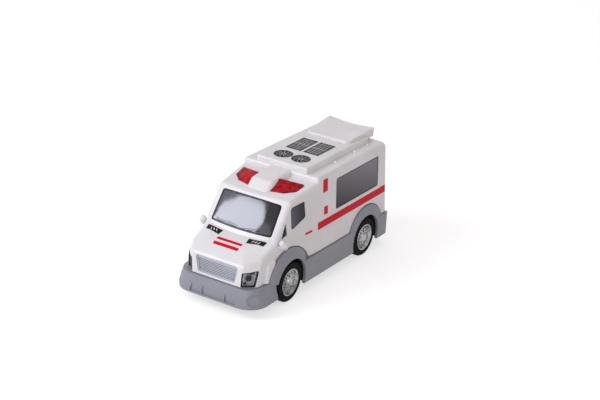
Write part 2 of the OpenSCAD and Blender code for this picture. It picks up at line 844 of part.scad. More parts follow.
// Gear train in X and Z
axis_dist = gear_m * (big_teeth + small_teeth) / 2;
axle_pt = [rear_axle_x, axle_z];
idler_pt = axle_pt + axis_dist * [cos(idler_angle), sin(idler_angle)];
wheel_pt = idler_pt + axis_dist * [cos(flywheel_angle), sin(flywheel_angle)];
big_tip = gear_m * (big_teeth + 2) / 2;
flywheel_r = axis_dist - pin_r - move_gap;
box_half = (flywheel_t + 2 * gear_w + 4 * move_gap) / 2 + box_wall;
fly_y = -box_half + box_wall + move_gap;
second_y = fly_y + flywheel_t + move_gap;
first_y = second_y + gear_w + move_gap;
split_y = first_y - move_gap / 2;
box_in_r = big_tip + move_gap;
foot_back_x = axle_pt[0] - box_in_r - foot_len / 2;
foot_front_x = wheel_pt[0] + foot_len / 2;
box_head_r = 2 * box_screw_r;
box_seat = plate_z + box_screw_r + fit;
foot_bore = foot_h - box_wall;
box_screw_pts = [for (x = [foot_back_x, foot_front_x])
    for (y = [(split_y - box_half) / 2, (split_y + box_half) / 2]) [x, y]];

module chassis() {
    hole_x = axle_pt[0] - box_in_r - box_wall - fit;
    hole_len = wheel_pt[0] - hole_x;
    well_r = arch_open_r + well_wall;
    color("dimgray")
        difference() {
            union() {
                translate([0, 0, plate_z])
                    linear_extrude(plate_t)
                        plan(skirt_wall + fit);
                for (p = post_pts)
                    translate([p[0], p[1], plate_z])
                        cylinder(r = post_r, h = plate_t + boss_h, $fn = fine_fn);
                intersection() {
                    for (x = [front_axle_x, rear_axle_x])
                        for (s = [0, 1])
                            mirror([0, s, 0])
                                translate([x, well_out, axle_z])
                                    rotate([90, 0, 0])
                                        cylinder(r = well_r, h = well_out - bearing_in, $fn = round_fn);
                    union() {
                        sill_block(skirt_wall + fit);
                        translate([back_x, -skirt_half, bumper_h + bumper_rise + fit])
                            cube([overall_len, skirt_w, tall]);
                    }
                    translate([back_x, -skirt_half, plate_z])
                        cube([overall_len, skirt_w, tall]);
                }
            }
            for (x = [front_axle_x, rear_axle_x])
                translate([x, 0, axle_z])
                    rotate([90, 0, 0]) {
                        translate([0, 0, well_in])
                            cylinder(r = arch_open_r, h = skirt_half, $fn = round_fn);
                        translate([0, 0, -well_in - skirt_half])
                            cylinder(r = arch_open_r, h = skirt_half, $fn = round_fn);
                        cylinder(r = axle_r + run_fit, h = skirt_w, center = true, $fn = round_fn);
                    }
            translate([hole_x, -box_half - fit, plate_z - over])
                cube([hole_len, 2 * (box_half + fit), plate_t + 2 * over]);
            for (p = post_pts)
                translate([p[0], p[1], plate_z - over]) {
                    cylinder(r = screw_r + fit, h = plate_t + boss_h + 2 * over, $fn = fine_fn);
                    cylinder(r = screw_head_r + fit, h = screw_seat - plate_z + over, $fn = fine_fn);
                }
            for (p = box_screw_pts)
                translate([p[0], p[1], plate_z - over]) {
                    cylinder(r = box_screw_r + fit, h = plate_t + 2 * over, $fn = fine_fn);
                    cylinder(r = box_head_r + fit, h = box_seat - plate_z + over, $fn = fine_fn);
                }
        }
}

module roof_pod() {
    front = pod_front;
    rear = pod_rear;
    hollow_r = (pow(pod_half, 2) + pow(pod_hollow, 2)) / (2 * pod_hollow);
    tilt = atan((pod_horn - pod_lip - pod_hollow) / pod_len);
    color("white")
        difference() {
            intersection() {
                across(2 * pod_half)
                    polygon(rounded([
                        [front, deck_z],
                        [front, deck_z + pod_lip],
                        [rear, deck_z + pod_horn],
                        [rear + pod_gap, roof_h + pod_gap],
                        [deck_back - fit, roof_h + pod_gap],
                        [deck_back - fit, deck_z]],
                        [0, pod_lip / 2, pod_lip / 2, pod_lip / 2, 0, 0]));
                linear_extrude(2 * tall)
                    polygon(rounded([
                        [rear, -pod_half], [front, -pod_half + pod_gap],
                        [front, pod_half - pod_gap], [rear, pod_half]],
                        [pod_gap, pod_horn, pod_horn, pod_gap]));
            }
            translate([rear, 0, deck_z + pod_horn - pod_hollow + hollow_r])
                rotate([0, 90 + tilt, 0])
                    cylinder(r = hollow_r, h = 2 * pod_len, center = true, $fn = round_fn * 2);
        }
}

module pane() {
    intersection() {
        skin(pane_set, pane_set + pane_t);
        children();
    }
}

module windscreen() {
    color("dimgray")
        pane()
            on_screen(cab_r)
                screen_shape(fit);
}

module door_window_left() {
    color("dimgray")
        pane()
            to_left(wide)
                door_shape(fit);
}

module door_window_right() {
    right()
        door_window_left();
}

module quarter_window_left() {
    color("dimgray")
        pane()
            to_left(wide)
                quarter_shape(fit);
}

module quarter_window_right() {
    right()
        quarter_window_left();
}

module side_window_left() {
    color("dimgray")
        pane()
            to_left(wide)
                side_shape(fit);
}

module side_window_right() {
    right()
        side_window_left();
}

module back_window_left() {
    color("dimgray")
        pane()
            at_back()
                back_pane_shape(fit);
}

module back_window_right() {
    right()
        back_window_left();
}

module beacon_lens_left() {
    color("red")
        difference() {
            ball_hull(lens_balls, 0, inner_fn);
            translate([0, 0, -lens_wall])
                ball_hull(lens_balls, -lens_r / 2, inner_fn);
            body_solid(press_fit);
        }
}

module beacon_lens_right() {
    right()
        beacon_lens_left();
}

module grille() {
    color("silver")
        intersection() {
            skin(grille_set, grille_set + pane_t);
            along(nose_x - hood_r, front_x)
                grille_shape(fit);
        }
}

module headlamp_lens_left() {
    color("gainsboro")
        intersection() {
            skin(pane_set / 2, pane_set / 2 + pane_t);
            on_corner(lamp_depth)
                lamp_shape(fit);
        }
}

module headlamp_lens_right() {
    right()
        headlamp_lens_left();
}

module headlamp_reflector_left() {
    depth = pane_set / 2 + pane_t + fit;
    color("silver")
        intersection() {
            skin(depth, depth + mirror_t);
            on_corner(lamp_depth)
                lamp_shape(fit);
        }
}

module headlamp_reflector_right() {
    right()
        headlamp_reflector_left();
}

mirror_x_share = 0.92;
mirror_z_share = 0.451;

module mirror_left() {
    x = box_front + mirror_x_share * cab_len;
    z = sill_h + mirror_z_share * cab_h;
    y = skirt_half + mirror_reach - mirror_r;
    color("white")
        difference() {
            union() {
                ball_hull([
                    [x + mirror_arm_r, y - mirror_arm_r, z + mirror_rise, mirror_r],
                    [x, y, z, mirror_r],
                    [x - mirror_arm_r, y - mirror_arm_r / 2, z - mirror_rise, mirror_r]],
                    0, ball_fn);
                ball_hull([
                    [x, y - mirror_r, z - mirror_r, mirror_arm_r],
                    [x, flank(x, z) - mirror_r, z - mirror_r, mirror_arm_r]],
                    0, inner_fn);
            }
            body_solid(press_fit);
        }
}

module mirror_right() {
    right()
        mirror_left();
}

module tail_lamp_left() {
    color("firebrick")
        intersection() {
            skin(-tail_proud, pane_t);
            at_back()
                tail_shape(fit);
        }
}

module tail_lamp_right() {
    right()
        tail_lamp_left();
}

handle_shares = [[0.136, 0.393], [0.293, 0.393]];

module door_handles() {
    a = cab_at(handle_shares[0]);
    b = cab_at(handle_shares[1]);
    color("silver")
        intersection() {
            skin(-handle_proud, -press_fit);
            across(wide)
                polygon(box_outline(a[0], b[0], a[1], a[1] + handle_h));
        }
}

stripe_front_share = 0.993;
stripe_low_share = 0.305;
stripe_high_share = 0.403;
block_shares = [[[0.872, 0.773], [0.932, 0.945]], [[0.866, 0.464], [0.913, 0.574]]];

module side_stickers_left() {
    a = box_at([0, stripe_low_share]);
    b = box_at([stripe_front_share, stripe_high_share]);
    color("crimson")
        intersection() {
            skin(-sticker_t, -press_fit / 2);
            translate([0, body_half / 2, 0])
                to_left(wide) {
                    polygon(box_outline(body_back_x + edge_r, b[0], a[1], b[1]));
                    for (s = block_shares)
                        polygon(box_between(box_at(s[0]), box_at(s[1])));
                }
        }
}

module side_stickers_right() {
    right()
        side_stickers_left();
}

fan_share = 0.225;
grid_share = 0.633;
pod_rear = body_back_x + back_lean;
pod_front = pod_rear + pod_len;
print_len = deck_front - pod_front;

module roof_stickers() {
    y = sticker_gap + grid_w / 2;
    color("darkslategray")
        translate([deck_front, 0, deck_z])
            for (s = [-1, 1]) {
                translate([-fan_share * print_len, s * y, 0])
                    cylinder(r = fan_r, h = sticker_t, $fn = round_fn);
                translate([-grid_share * print_len, s * y, 0])
                    linear_extrude(sticker_t)
                        square([grid_len, grid_w], center = true);
            }
}

// Corners of a hood vent: shares of the hood length ahead of the windscreen, and of the half width
vent_shares = [[0.181, 0.318], [0.117, 0.72], [0.25, 0.7], [0.35, 0.335]];
bar_shares = [[0.42, 0.5], [0.58, 0.66]];
bar_half_share = 0.3;

module from_above() {
    translate([0, 0, (hood_back_h + bumper_h) / 2])
        linear_extrude(tall)
            children();
}

module hood_vents() {
    color("black")
        intersection() {
            skin(-sticker_t, -press_fit / 2);
            from_above()
                for (m = [-1, 1])
                    polygon([for (s = vent_shares)
                        [screen_base_x + s[0] * hood_len, m * s[1] * body_half]]);
        }
}

module hood_bars() {
    color("crimson")
        intersection() {
            skin(-sticker_t, -press_fit / 2);
            from_above()
                for (s = bar_shares)
                    polygon(box_between(
                        [screen_base_x + s[0] * hood_len, -bar_half_share * body_half],
                        [screen_base_x + s[1] * hood_len, bar_half_share * body_half]));
        }
}

// Wheels, with the outer face of the tyre at zero and the axis along Z
rim_w = tyre_w - well_gap;
hub_r = axle_r + rim_wall;
rim_bore = axle_r + press_fit;
wheel_y = skirt_half - wheel_set;

module tyre() {
    seat_r = rim_r + press_fit;
    color("black")
        rotate_extrude($fn = round_fn)
            difference() {
                polygon(rounded(
                    [[seat_r, -tyre_w], [tyre_r, -tyre_w], [tyre_r, 0], [seat_r, 0]],
                    [0, tyre_shoulder, tyre_shoulder, 0]));
                for (i = [1:grooves])
                    translate([tyre_r - groove, -tyre_w * i / (grooves + 1) - groove / 2])
                        square([groove + over, groove]);
            }
}

module rim() {
    inner = rim_r - rim_wall;
    cap_h = rim_wall / 4;
    hub_z = -tyre_w - well_gap + move_gap;
    color("lightgray")
        difference() {
            union() {
                rotate_extrude($fn = round_fn)
                    polygon([
                        [rim_r, 0], [rim_r, -rim_w], [inner, -rim_w], [inner, -rim_dish - rim_wall],
                        [hub_r, -rim_dish - rim_wall], [hub_r, hub_z],
                        [rim_bore, hub_z], [rim_bore, -rim_dish], [0, -rim_dish],
                        [0, cap_h], [cap_r - rim_wall / 2, 0], [cap_r, -rim_dish / 2],
                        [inner - rim_wall / 2, -rim_dish],
                        [inner + rim_wall / 4, -cap_h],
                        [inner + rim_wall / 2, 0]]);
                for (i = [0:nuts - 1])
                    rotate([0, 0, 360 * i / nuts])
                        translate([cap_r + 2 * nut_r, 0, -rim_dish - rim_wall / 2])
                            cylinder(r = nut_r, h = rim_wall + nut_r, $fn = fine_fn);
            }
            for (i = [0:rim_holes - 1])
                rotate([0, 0, 360 * (i + 1 / 2) / rim_holes])
                    translate([inner - rim_wall - rim_hole_r, 0, -rim_dish - 2 * rim_wall])
                        cylinder(r = rim_hole_r, h = 4 * rim_wall, $fn = fine_fn);
        }
}

module wheel_place(x) {
    translate([x, wheel_y, axle_z])
        rotate([-90, 0, 0])
            children();
}

module front_left_tyre() {
    wheel_place(front_axle_x)
        tyre();
}

module front_right_tyre() {
    right()
        front_left_tyre();
}

module rear_left_tyre() {
    wheel_place(rear_axle_x)
        tyre();
}

module rear_right_tyre() {
    right()
        rear_left_tyre();
}

module front_left_rim() {
    wheel_place(front_axle_x)
        rim();
}

module front_right_rim() {
    right()
        front_left_rim();
}

module rear_left_rim() {
    wheel_place(rear_axle_x)
        rim();
}

module rear_right_rim() {
    right()
        rear_left_rim();
}

module axle(x) {
    axle_half = wheel_y - rim_dish - press_fit;
    color("silver")
        translate([x, 0, axle_z])
            rotate([90, 0, 0])
                cylinder(r = axle_r, h = 2 * axle_half, center = true, $fn = round_fn);
}

module front_axle() {
    axle(front_axle_x);
}

module rear_axle() {
    axle(rear_axle_x);
}

// Gear outline with involute flanks, a tooth centred on the X axis
pressure = 25;
flank_steps = 4;
root_share = 1.25;
tip_share = 0.92;
function involute_angle(rb, r) = let (a = acos(min(1, rb / r))) tan(a) * 180 / PI - a;
function half_tooth(n, r) = let (p = gear_m * n / 2, rb = p * cos(pressure))
    90 / n - backlash / p * 90 / PI + involute_angle(rb, p) - involute_angle(rb, max(r, rb));
function gear_radii(n) =
    let (p = gear_m * n / 2, root = p - root_share * gear_m, tip = p + tip_share * gear_m)
    let (from = max(root, p * cos(pressure)))
    concat(from > root ? [root] : [], [for (i = [0:flank_steps]) from + (tip - from) * i / flank_steps]);
function gear_outline(n) = let (radii = gear_radii(n), k = len(radii))
    [for (i = [0:n - 1]) each concat(
        [for (j = [0:k - 1]) radii[j] * [cos(360 * i / n - half_tooth(n, radii[j])),
            sin(360 * i / n - half_tooth(n, radii[j]))]],
        [for (j = [k - 1:-1:0]) radii[j] * [cos(360 * i / n + half_tooth(n, radii[j])),
            sin(360 * i / n + half_tooth(n, radii[j]))]])];

// Gear at a place in X and Z, turned so that a tooth points at turn, with its near face at y
module gear(n, pt, turn, y, bore) {
    translate([pt[0], y + gear_w, pt[1]])
        rotate([90, 0, 0])
            linear_extrude(gear_w)
                difference() {
                    rotate(turn)
                        polygon(gear_outline(n));
                    circle(bore, $fn = round_fn);
                }
}

module axle_gear() {
    color("ivory")
        gear(big_teeth, axle_pt, idler_angle, first_y, axle_r + press_fit);
}

module idler_gear() {
    color("ivory") {
        gear(small_teeth, idler_pt, idler_angle + 180 + 180 / small_teeth, first_y, pin_r + run_fit);
        gear(big_teeth, idler_pt, flywheel_angle, second_y, pin_r + run_fit);
        translate([idler_pt[0], first_y, idler_pt[1]])
            rotate([90, 0, 0])
                linear_extrude(move_gap)
                    difference() {
                        circle(2 * pin_r, $fn = round_fn);
                        circle(pin_r + run_fit, $fn = round_fn);
                    }
    }
}

module rod(pt, r, y0, y1) {
    translate([pt[0], y1, pt[1]])
        rotate([90, 0, 0])
            cylinder(r = r, h = y1 - y0, $fn = round_fn);
}

module idler_pin() {
    color("silver")
        rod(idler_pt, pin_r, -box_half + press_fit, box_half - press_fit);
}

module flywheel() {
    color("gray")
        difference() {
            rod(wheel_pt, flywheel_r, fly_y, fly_y + flywheel_t);
            rod(wheel_pt, pin_r + press_fit, fly_y - over, fly_y + flywheel_t + over);
        }
}

module flywheel_shaft() {
    color("silver") {
        rod(wheel_pt, pin_r, -box_half + press_fit, box_half - press_fit);
        gear(small_teeth, wheel_pt, flywheel_angle + 180 + 180 / small_teeth, second_y, pin_r / 2);
    }
}

// Gearbox outline in X and Z, moved out by grow
module box_shape(grow) {
    hull() {
        translate(axle_pt)
            circle(box_in_r + grow, $fn = round_fn);
        translate(idler_pt)
            circle(box_in_r + grow, $fn = round_fn);
        translate(wheel_pt)
            circle(flywheel_r + move_gap + grow, $fn = round_fn);
    }
}

module foot(x) {
    translate([x - foot_len / 2, plate_top])
        square([foot_len, foot_h]);
}

module gearbox_half(y0, y1, in0, in1) {
    color("darkslategray")
        difference() {
            translate([0, y1, 0])
                rotate([90, 0, 0])
                    linear_extrude(y1 - y0) {
                        box_shape(box_wall);
                        foot(foot_back_x);
                        foot(foot_front_x);
                    }
            translate([0, in1, 0])
                rotate([90, 0, 0])
                    linear_extrude(in1 - in0)
                        box_shape(0);
            rod(axle_pt, axle_r + run_fit, -skirt_w, skirt_w);
            rod(idler_pt, pin_r + press_fit, -skirt_w, skirt_w);
            rod(wheel_pt, pin_r + run_fit, -skirt_w, skirt_w);
            for (p = box_screw_pts)
                translate([p[0], p[1], plate_top - over])
                    cylinder(r = box_screw_r + press_fit, h = foot_bore + over, $fn = fine_fn);
        }
}

module gearbox_left() {
    gearbox_half(split_y, box_half, split_y - over, box_half - box_wall);
}

module gearbox_right() {
    gearbox_half(-box_half, split_y, -box_half + box_wall, split_y + over);
}

// Screw with a cross slot in its head
slot_share = 0.6;

module screw(r, head_r, head_h, length) {
    color("silver")
        difference() {
            union() {
                cylinder(r = r, h = length, $fn = fine_fn);
                translate([0, 0, -head_h])
                    cylinder(r = head_r, h = head_h, $fn = fine_fn);
            }
            for (a = [0, 90])
                rotate([0, 0, a])
                    translate([-head_r * slot_share, -head_r * slot_share / 4, -head_h - over])
                        cube([2 * head_r * slot_share, head_r * slot_share / 2, head_h / 2 + over]);
        }
}

module gearbox_screws() {
    for (p = box_screw_pts)
        translate([p[0], p[1], box_seat])
            screw(box_screw_r, box_head_r, box_screw_r, plate_top + foot_bore - fit - box_seat);
}

module body_screws() {
    for (p = post_pts)
        translate([p[0], p[1], screw_seat])
            screw(screw_r, screw_head_r, screw_head_h, screw_len);
}

upper_body();
lower_body();
chassis();
roof_pod();
windscreen();
door_window_left();
door_window_right();
quarter_window_left();
quarter_window_right();
side_window_left();
side_window_right();
back_window_left();
back_window_right();
beacon_lens_left();
beacon_lens_right();
grille();
headlamp_lens_left();
headlamp_lens_right();
headlamp_reflector_left();
headlamp_reflector_right();
mirror_left();
mirror_right();
tail_lamp_left();
tail_lamp_right();
door_handles();
side_stickers_left();
side_stickers_right();
roof_stickers();
hood_vents();
hood_bars();
front_axle();
front_left_tyre();
front_right_tyre();
front_left_rim();
front_right_rim();
rear_axle();
rear_left_tyre();
rear_right_tyre();
rear_left_rim();
rear_right_rim();
axle_gear();
idler_gear();
idler_pin();
flywheel();
flywheel_shaft();
gearbox_left();
gearbox_right();
gearbox_screws();
body_screws();
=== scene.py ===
"""Toy ambulance: its finishes and fine shapes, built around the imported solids.

X points to the front, Y to the left and Z up, and the origin is on the ground under the middle.
Sizes are in millimetres in the classes and become metres where a mesh is made. The floor and the
lamps are in metres.
"""

from __future__ import annotations

import json
import logging
import math
from collections.abc import Callable, Iterable, Iterator
from contextlib import contextmanager
from dataclasses import dataclass, replace
from enum import Enum, IntEnum

import bmesh
import bpy
from mathutils import Matrix, Vector

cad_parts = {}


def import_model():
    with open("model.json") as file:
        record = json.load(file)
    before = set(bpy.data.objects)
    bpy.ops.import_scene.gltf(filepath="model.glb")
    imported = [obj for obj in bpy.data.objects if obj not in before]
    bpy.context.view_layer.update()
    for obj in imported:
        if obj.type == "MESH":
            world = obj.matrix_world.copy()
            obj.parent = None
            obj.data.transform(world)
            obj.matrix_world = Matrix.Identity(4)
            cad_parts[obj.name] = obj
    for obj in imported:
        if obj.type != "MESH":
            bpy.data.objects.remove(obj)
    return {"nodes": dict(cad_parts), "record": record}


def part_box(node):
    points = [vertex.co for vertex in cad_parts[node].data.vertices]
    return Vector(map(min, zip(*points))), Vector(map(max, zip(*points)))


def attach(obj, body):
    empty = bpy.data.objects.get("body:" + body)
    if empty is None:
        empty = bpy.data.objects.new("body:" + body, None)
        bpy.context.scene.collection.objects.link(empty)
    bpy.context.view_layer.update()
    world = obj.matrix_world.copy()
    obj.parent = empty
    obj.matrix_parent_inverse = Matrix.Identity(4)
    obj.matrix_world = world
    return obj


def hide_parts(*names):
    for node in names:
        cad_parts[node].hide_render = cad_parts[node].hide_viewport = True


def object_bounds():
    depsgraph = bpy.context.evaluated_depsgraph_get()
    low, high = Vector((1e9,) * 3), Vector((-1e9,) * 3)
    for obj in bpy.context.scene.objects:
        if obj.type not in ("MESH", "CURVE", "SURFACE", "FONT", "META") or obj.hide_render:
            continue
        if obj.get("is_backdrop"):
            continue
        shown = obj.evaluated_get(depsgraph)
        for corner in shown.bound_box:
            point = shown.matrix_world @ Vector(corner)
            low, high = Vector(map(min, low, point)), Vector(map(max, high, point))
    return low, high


logging.basicConfig(level=logging.INFO, format="%(message)s")
LOG = logging.getLogger("toy_ambulance")

MM = 0.001

# Shaping, in millimetres and degrees.
WELD_GAP = 0.001
LATHE_GAP = 0.004
SMOOTH = 30.0
NORMAL_WEIGHT = 80
BEVEL_SEGMENTS = 2
PANE_FLAT = 0.5
# Least share of a normal along a direction at which a pane's face counts as facing that way.
PANE_FACING = 0.6

# Drift of a tone: layers of its noise, how fast they fade, and the part of its range in use.
DRIFT_DETAIL = 3.0
DRIFT_FALLOFF = 0.55
DRIFT_LOW, DRIFT_HIGH = 0.33, 0.67
LEAST_ROUGHNESS = 0.02
# Relief of a face: layers of noise, the turn of the prisms and the stretch of drawn lines.
SMOOTH_DETAIL = 2.0
GRIT_DETAIL = 5.0
PRISM_TURN = math.radians(45)
DRAWN_STRETCH = 0.02
# Sockets of a mix of colours, which share their names with others.
MIX_SHARE, MIX_FROM, MIX_TO, MIX_COLOUR = 0, 6, 7, 2

Obj = bpy.types.Object
Face = bmesh.types.BMFace
Tree = bpy.types.NodeTree
Socket = bpy.types.NodeSocket
Pair = tuple[float, float]
Point = tuple[float, float, float]
FaceTest = Callable[[Face], bool]


class Side(Enum):
    """Side of the toy, with the sign of Y there."""

    LEFT = 1
    RIGHT = -1

    @property
    def word(self) -> str:
        """Name of the side as the nodes spell it."""
        return self.name.lower()


class Axle(Enum):
    """Axle of the toy, as the nodes spell it."""

    FRONT = "front"
    REAR = "rear"


class RedLens(Enum):
    """Red lens, as the nodes spell it."""

    BEACON = "beacon_lens"
    TAIL = "tail_lamp"


class Slot(IntEnum):
    """Material slot of a piece that has more than one finish."""

    MAIN = 0
    EDGE = 1
    DISH = 2


class Surface(Enum):
    """How the face of a moulded or finished piece was made."""

    POLISHED = "polished"
    SPARK_ERODED = "spark eroded"
    PRISMATIC = "prismatic"
    DRAWN = "drawn"


def linear(code: str, alpha: float = 1.0) -> tuple[float, float, float, float]:
    """Turn an sRGB hex code into a linear colour.

    Args:
        code: Colour as #RRGGBB.
        alpha: Fourth channel.

    Returns:
        Linear red, green, blue and alpha.
    """
    parts = [int(code[i:i + 2], 16) / 255 for i in (1, 3, 5)]
    lin = [c / 12.92 if c <= 0.04045 else ((c + 0.055) / 1.055) ** 2.4 for c in parts]
    return (lin[0], lin[1], lin[2], alpha)


def per_mm(size: float) -> float:
    """Give the texture scale at which one feature is that many millimetres wide."""
    return 1 / (size * MM)


def add(tree: Tree, kind: str, sets: dict | None = None, links: dict | None = None,
        **props: object) -> bpy.types.Node:
    """Add a node with its settings and links.

    Args:
        tree: Node tree that takes the node.
        kind: Blender's type of node.
        sets: Values by input name or number.
        links: Output sockets by input name or number.
        props: Properties of the node itself.

    Returns:
        The new node.
    """
    node = tree.nodes.new(kind)
    for key, value in props.items():
        setattr(node, key, value)
    for key, value in (sets or {}).items():
        node.inputs[key].default_value = value
    for key, socket in (links or {}).items():
        tree.links.new(socket, node.inputs[key])
    return node


def bare_tree(owner: bpy.types.Material | bpy.types.World) -> Tree:
    """Give a material or a world an empty node tree.

    Args:
        owner: The material or world.

    Returns:
        The tree.
    """
    owner.use_nodes = True
    owner.node_tree.nodes.clear()
    return owner.node_tree


@dataclass(frozen=True)
class Finish:
    """A material by its common name, its colours and how its face was made.

    The tone drifts a little between two colours over a few millimetres, as in moulded plastic
    where the melt has flowed, and the roughness drifts with it. Where the two colours lie far
    apart, the drift is painted light and shade. With a fade, the tone runs from the shade to the
    colour along a direction instead, as a painted gradient of light.
    """

    name: str
    colour: str
    shade: str
    roughness: float
    drift_mm: float = 24.0
    surface: Surface = Surface.POLISHED
    grain_mm: float = 1.2
    grain_depth_mm: float = 0.012
    ior: float = 1.5
    metallic: float = 0.0
    alpha: float = 1.0
    specular: float = 0.5
    spread: float = 0.05
    fade: Point | None = None
    fade_start: float = 0.0

    def build(self) -> bpy.types.Material:
        """Make the material's node tree.

        Returns:
            The material.
        """
        mat = bpy.data.materials.new(self.name)
        tree = bare_tree(mat)
        coords = add(tree, "ShaderNodeTexCoord").outputs["Object"]
        drift = add(tree, "ShaderNodeTexNoise",
                    {"Scale": per_mm(self.drift_mm), "Detail": DRIFT_DETAIL,
                     "Roughness": DRIFT_FALLOFF}, {"Vector": coords})
        share = add(tree, "ShaderNodeMapRange", {"From Min": DRIFT_LOW, "From Max": DRIFT_HIGH},
                    {"Value": drift.outputs["Fac"]}).outputs["Result"]
        if self.fade is not None:
            along = add(tree, "ShaderNodeVectorMath", {1: [f / MM for f in self.fade]}, {0: coords},
                        operation="DOT_PRODUCT")
            share = add(tree, "ShaderNodeMath", {1: self.fade_start}, {0: along.outputs["Value"]},
                        operation="SUBTRACT", use_clamp=True).outputs[0]
        tone = add(tree, "ShaderNodeMix",
                   {MIX_FROM: linear(self.shade), MIX_TO: linear(self.colour)},
                   {MIX_SHARE: share}, data_type="RGBA")
        rough = add(tree, "ShaderNodeMapRange",
                    {"To Min": max(LEAST_ROUGHNESS, self.roughness - self.spread),
                     "To Max": self.roughness + self.spread},
                    {"Value": drift.outputs["Fac"]})
        bump = add(tree, "ShaderNodeBump",
                   {"Strength": 1.0, "Distance": self.grain_depth_mm * MM},
                   {"Height": self.height(tree, coords)})
        shader = add(tree, "ShaderNodeBsdfPrincipled",
                     {"IOR": self.ior, "Metallic": self.metallic, "Alpha": self.alpha,
                      "Specular IOR Level": self.specular},
                     {"Base Color": tone.outputs[MIX_COLOUR], "Roughness": rough.outputs["Result"],
                      "Normal": bump.outputs["Normal"]})
        add(tree, "ShaderNodeOutputMaterial", links={"Surface": shader.outputs["BSDF"]})
        return mat

    def height(self, tree: Tree, coords: Socket) -> Socket:
        """Make the fine relief of the face.

        Args:
            tree: Node tree that takes the nodes.
            coords: Object coordinates.

        Returns:
            Height of the relief, from 0 to 1.
        """
        if self.surface is Surface.PRISMATIC:
            turned = add(tree, "ShaderNodeMapping", {"Rotation": (0.0, 0.0, PRISM_TURN)},
                         {"Vector": coords})
            cells = add(tree, "ShaderNodeTexVoronoi",
                        {"Scale": per_mm(self.grain_mm), "Randomness": 0.0},
                        {"Vector": turned.outputs["Vector"]}, distance="MANHATTAN")
            return cells.outputs["Distance"]
        if self.surface is Surface.DRAWN:
            along = add(tree, "ShaderNodeMapping", {"Scale": (1.0, DRAWN_STRETCH, 1.0)},
                        {"Vector": coords})
            coords = along.outputs["Vector"]
        detail = SMOOTH_DETAIL if self.surface is Surface.POLISHED else GRIT_DETAIL
        grain = add(tree, "ShaderNodeTexNoise",
                    {"Scale": per_mm(self.grain_mm), "Detail": detail}, {"Vector": coords})
        return grain.outputs["Fac"]


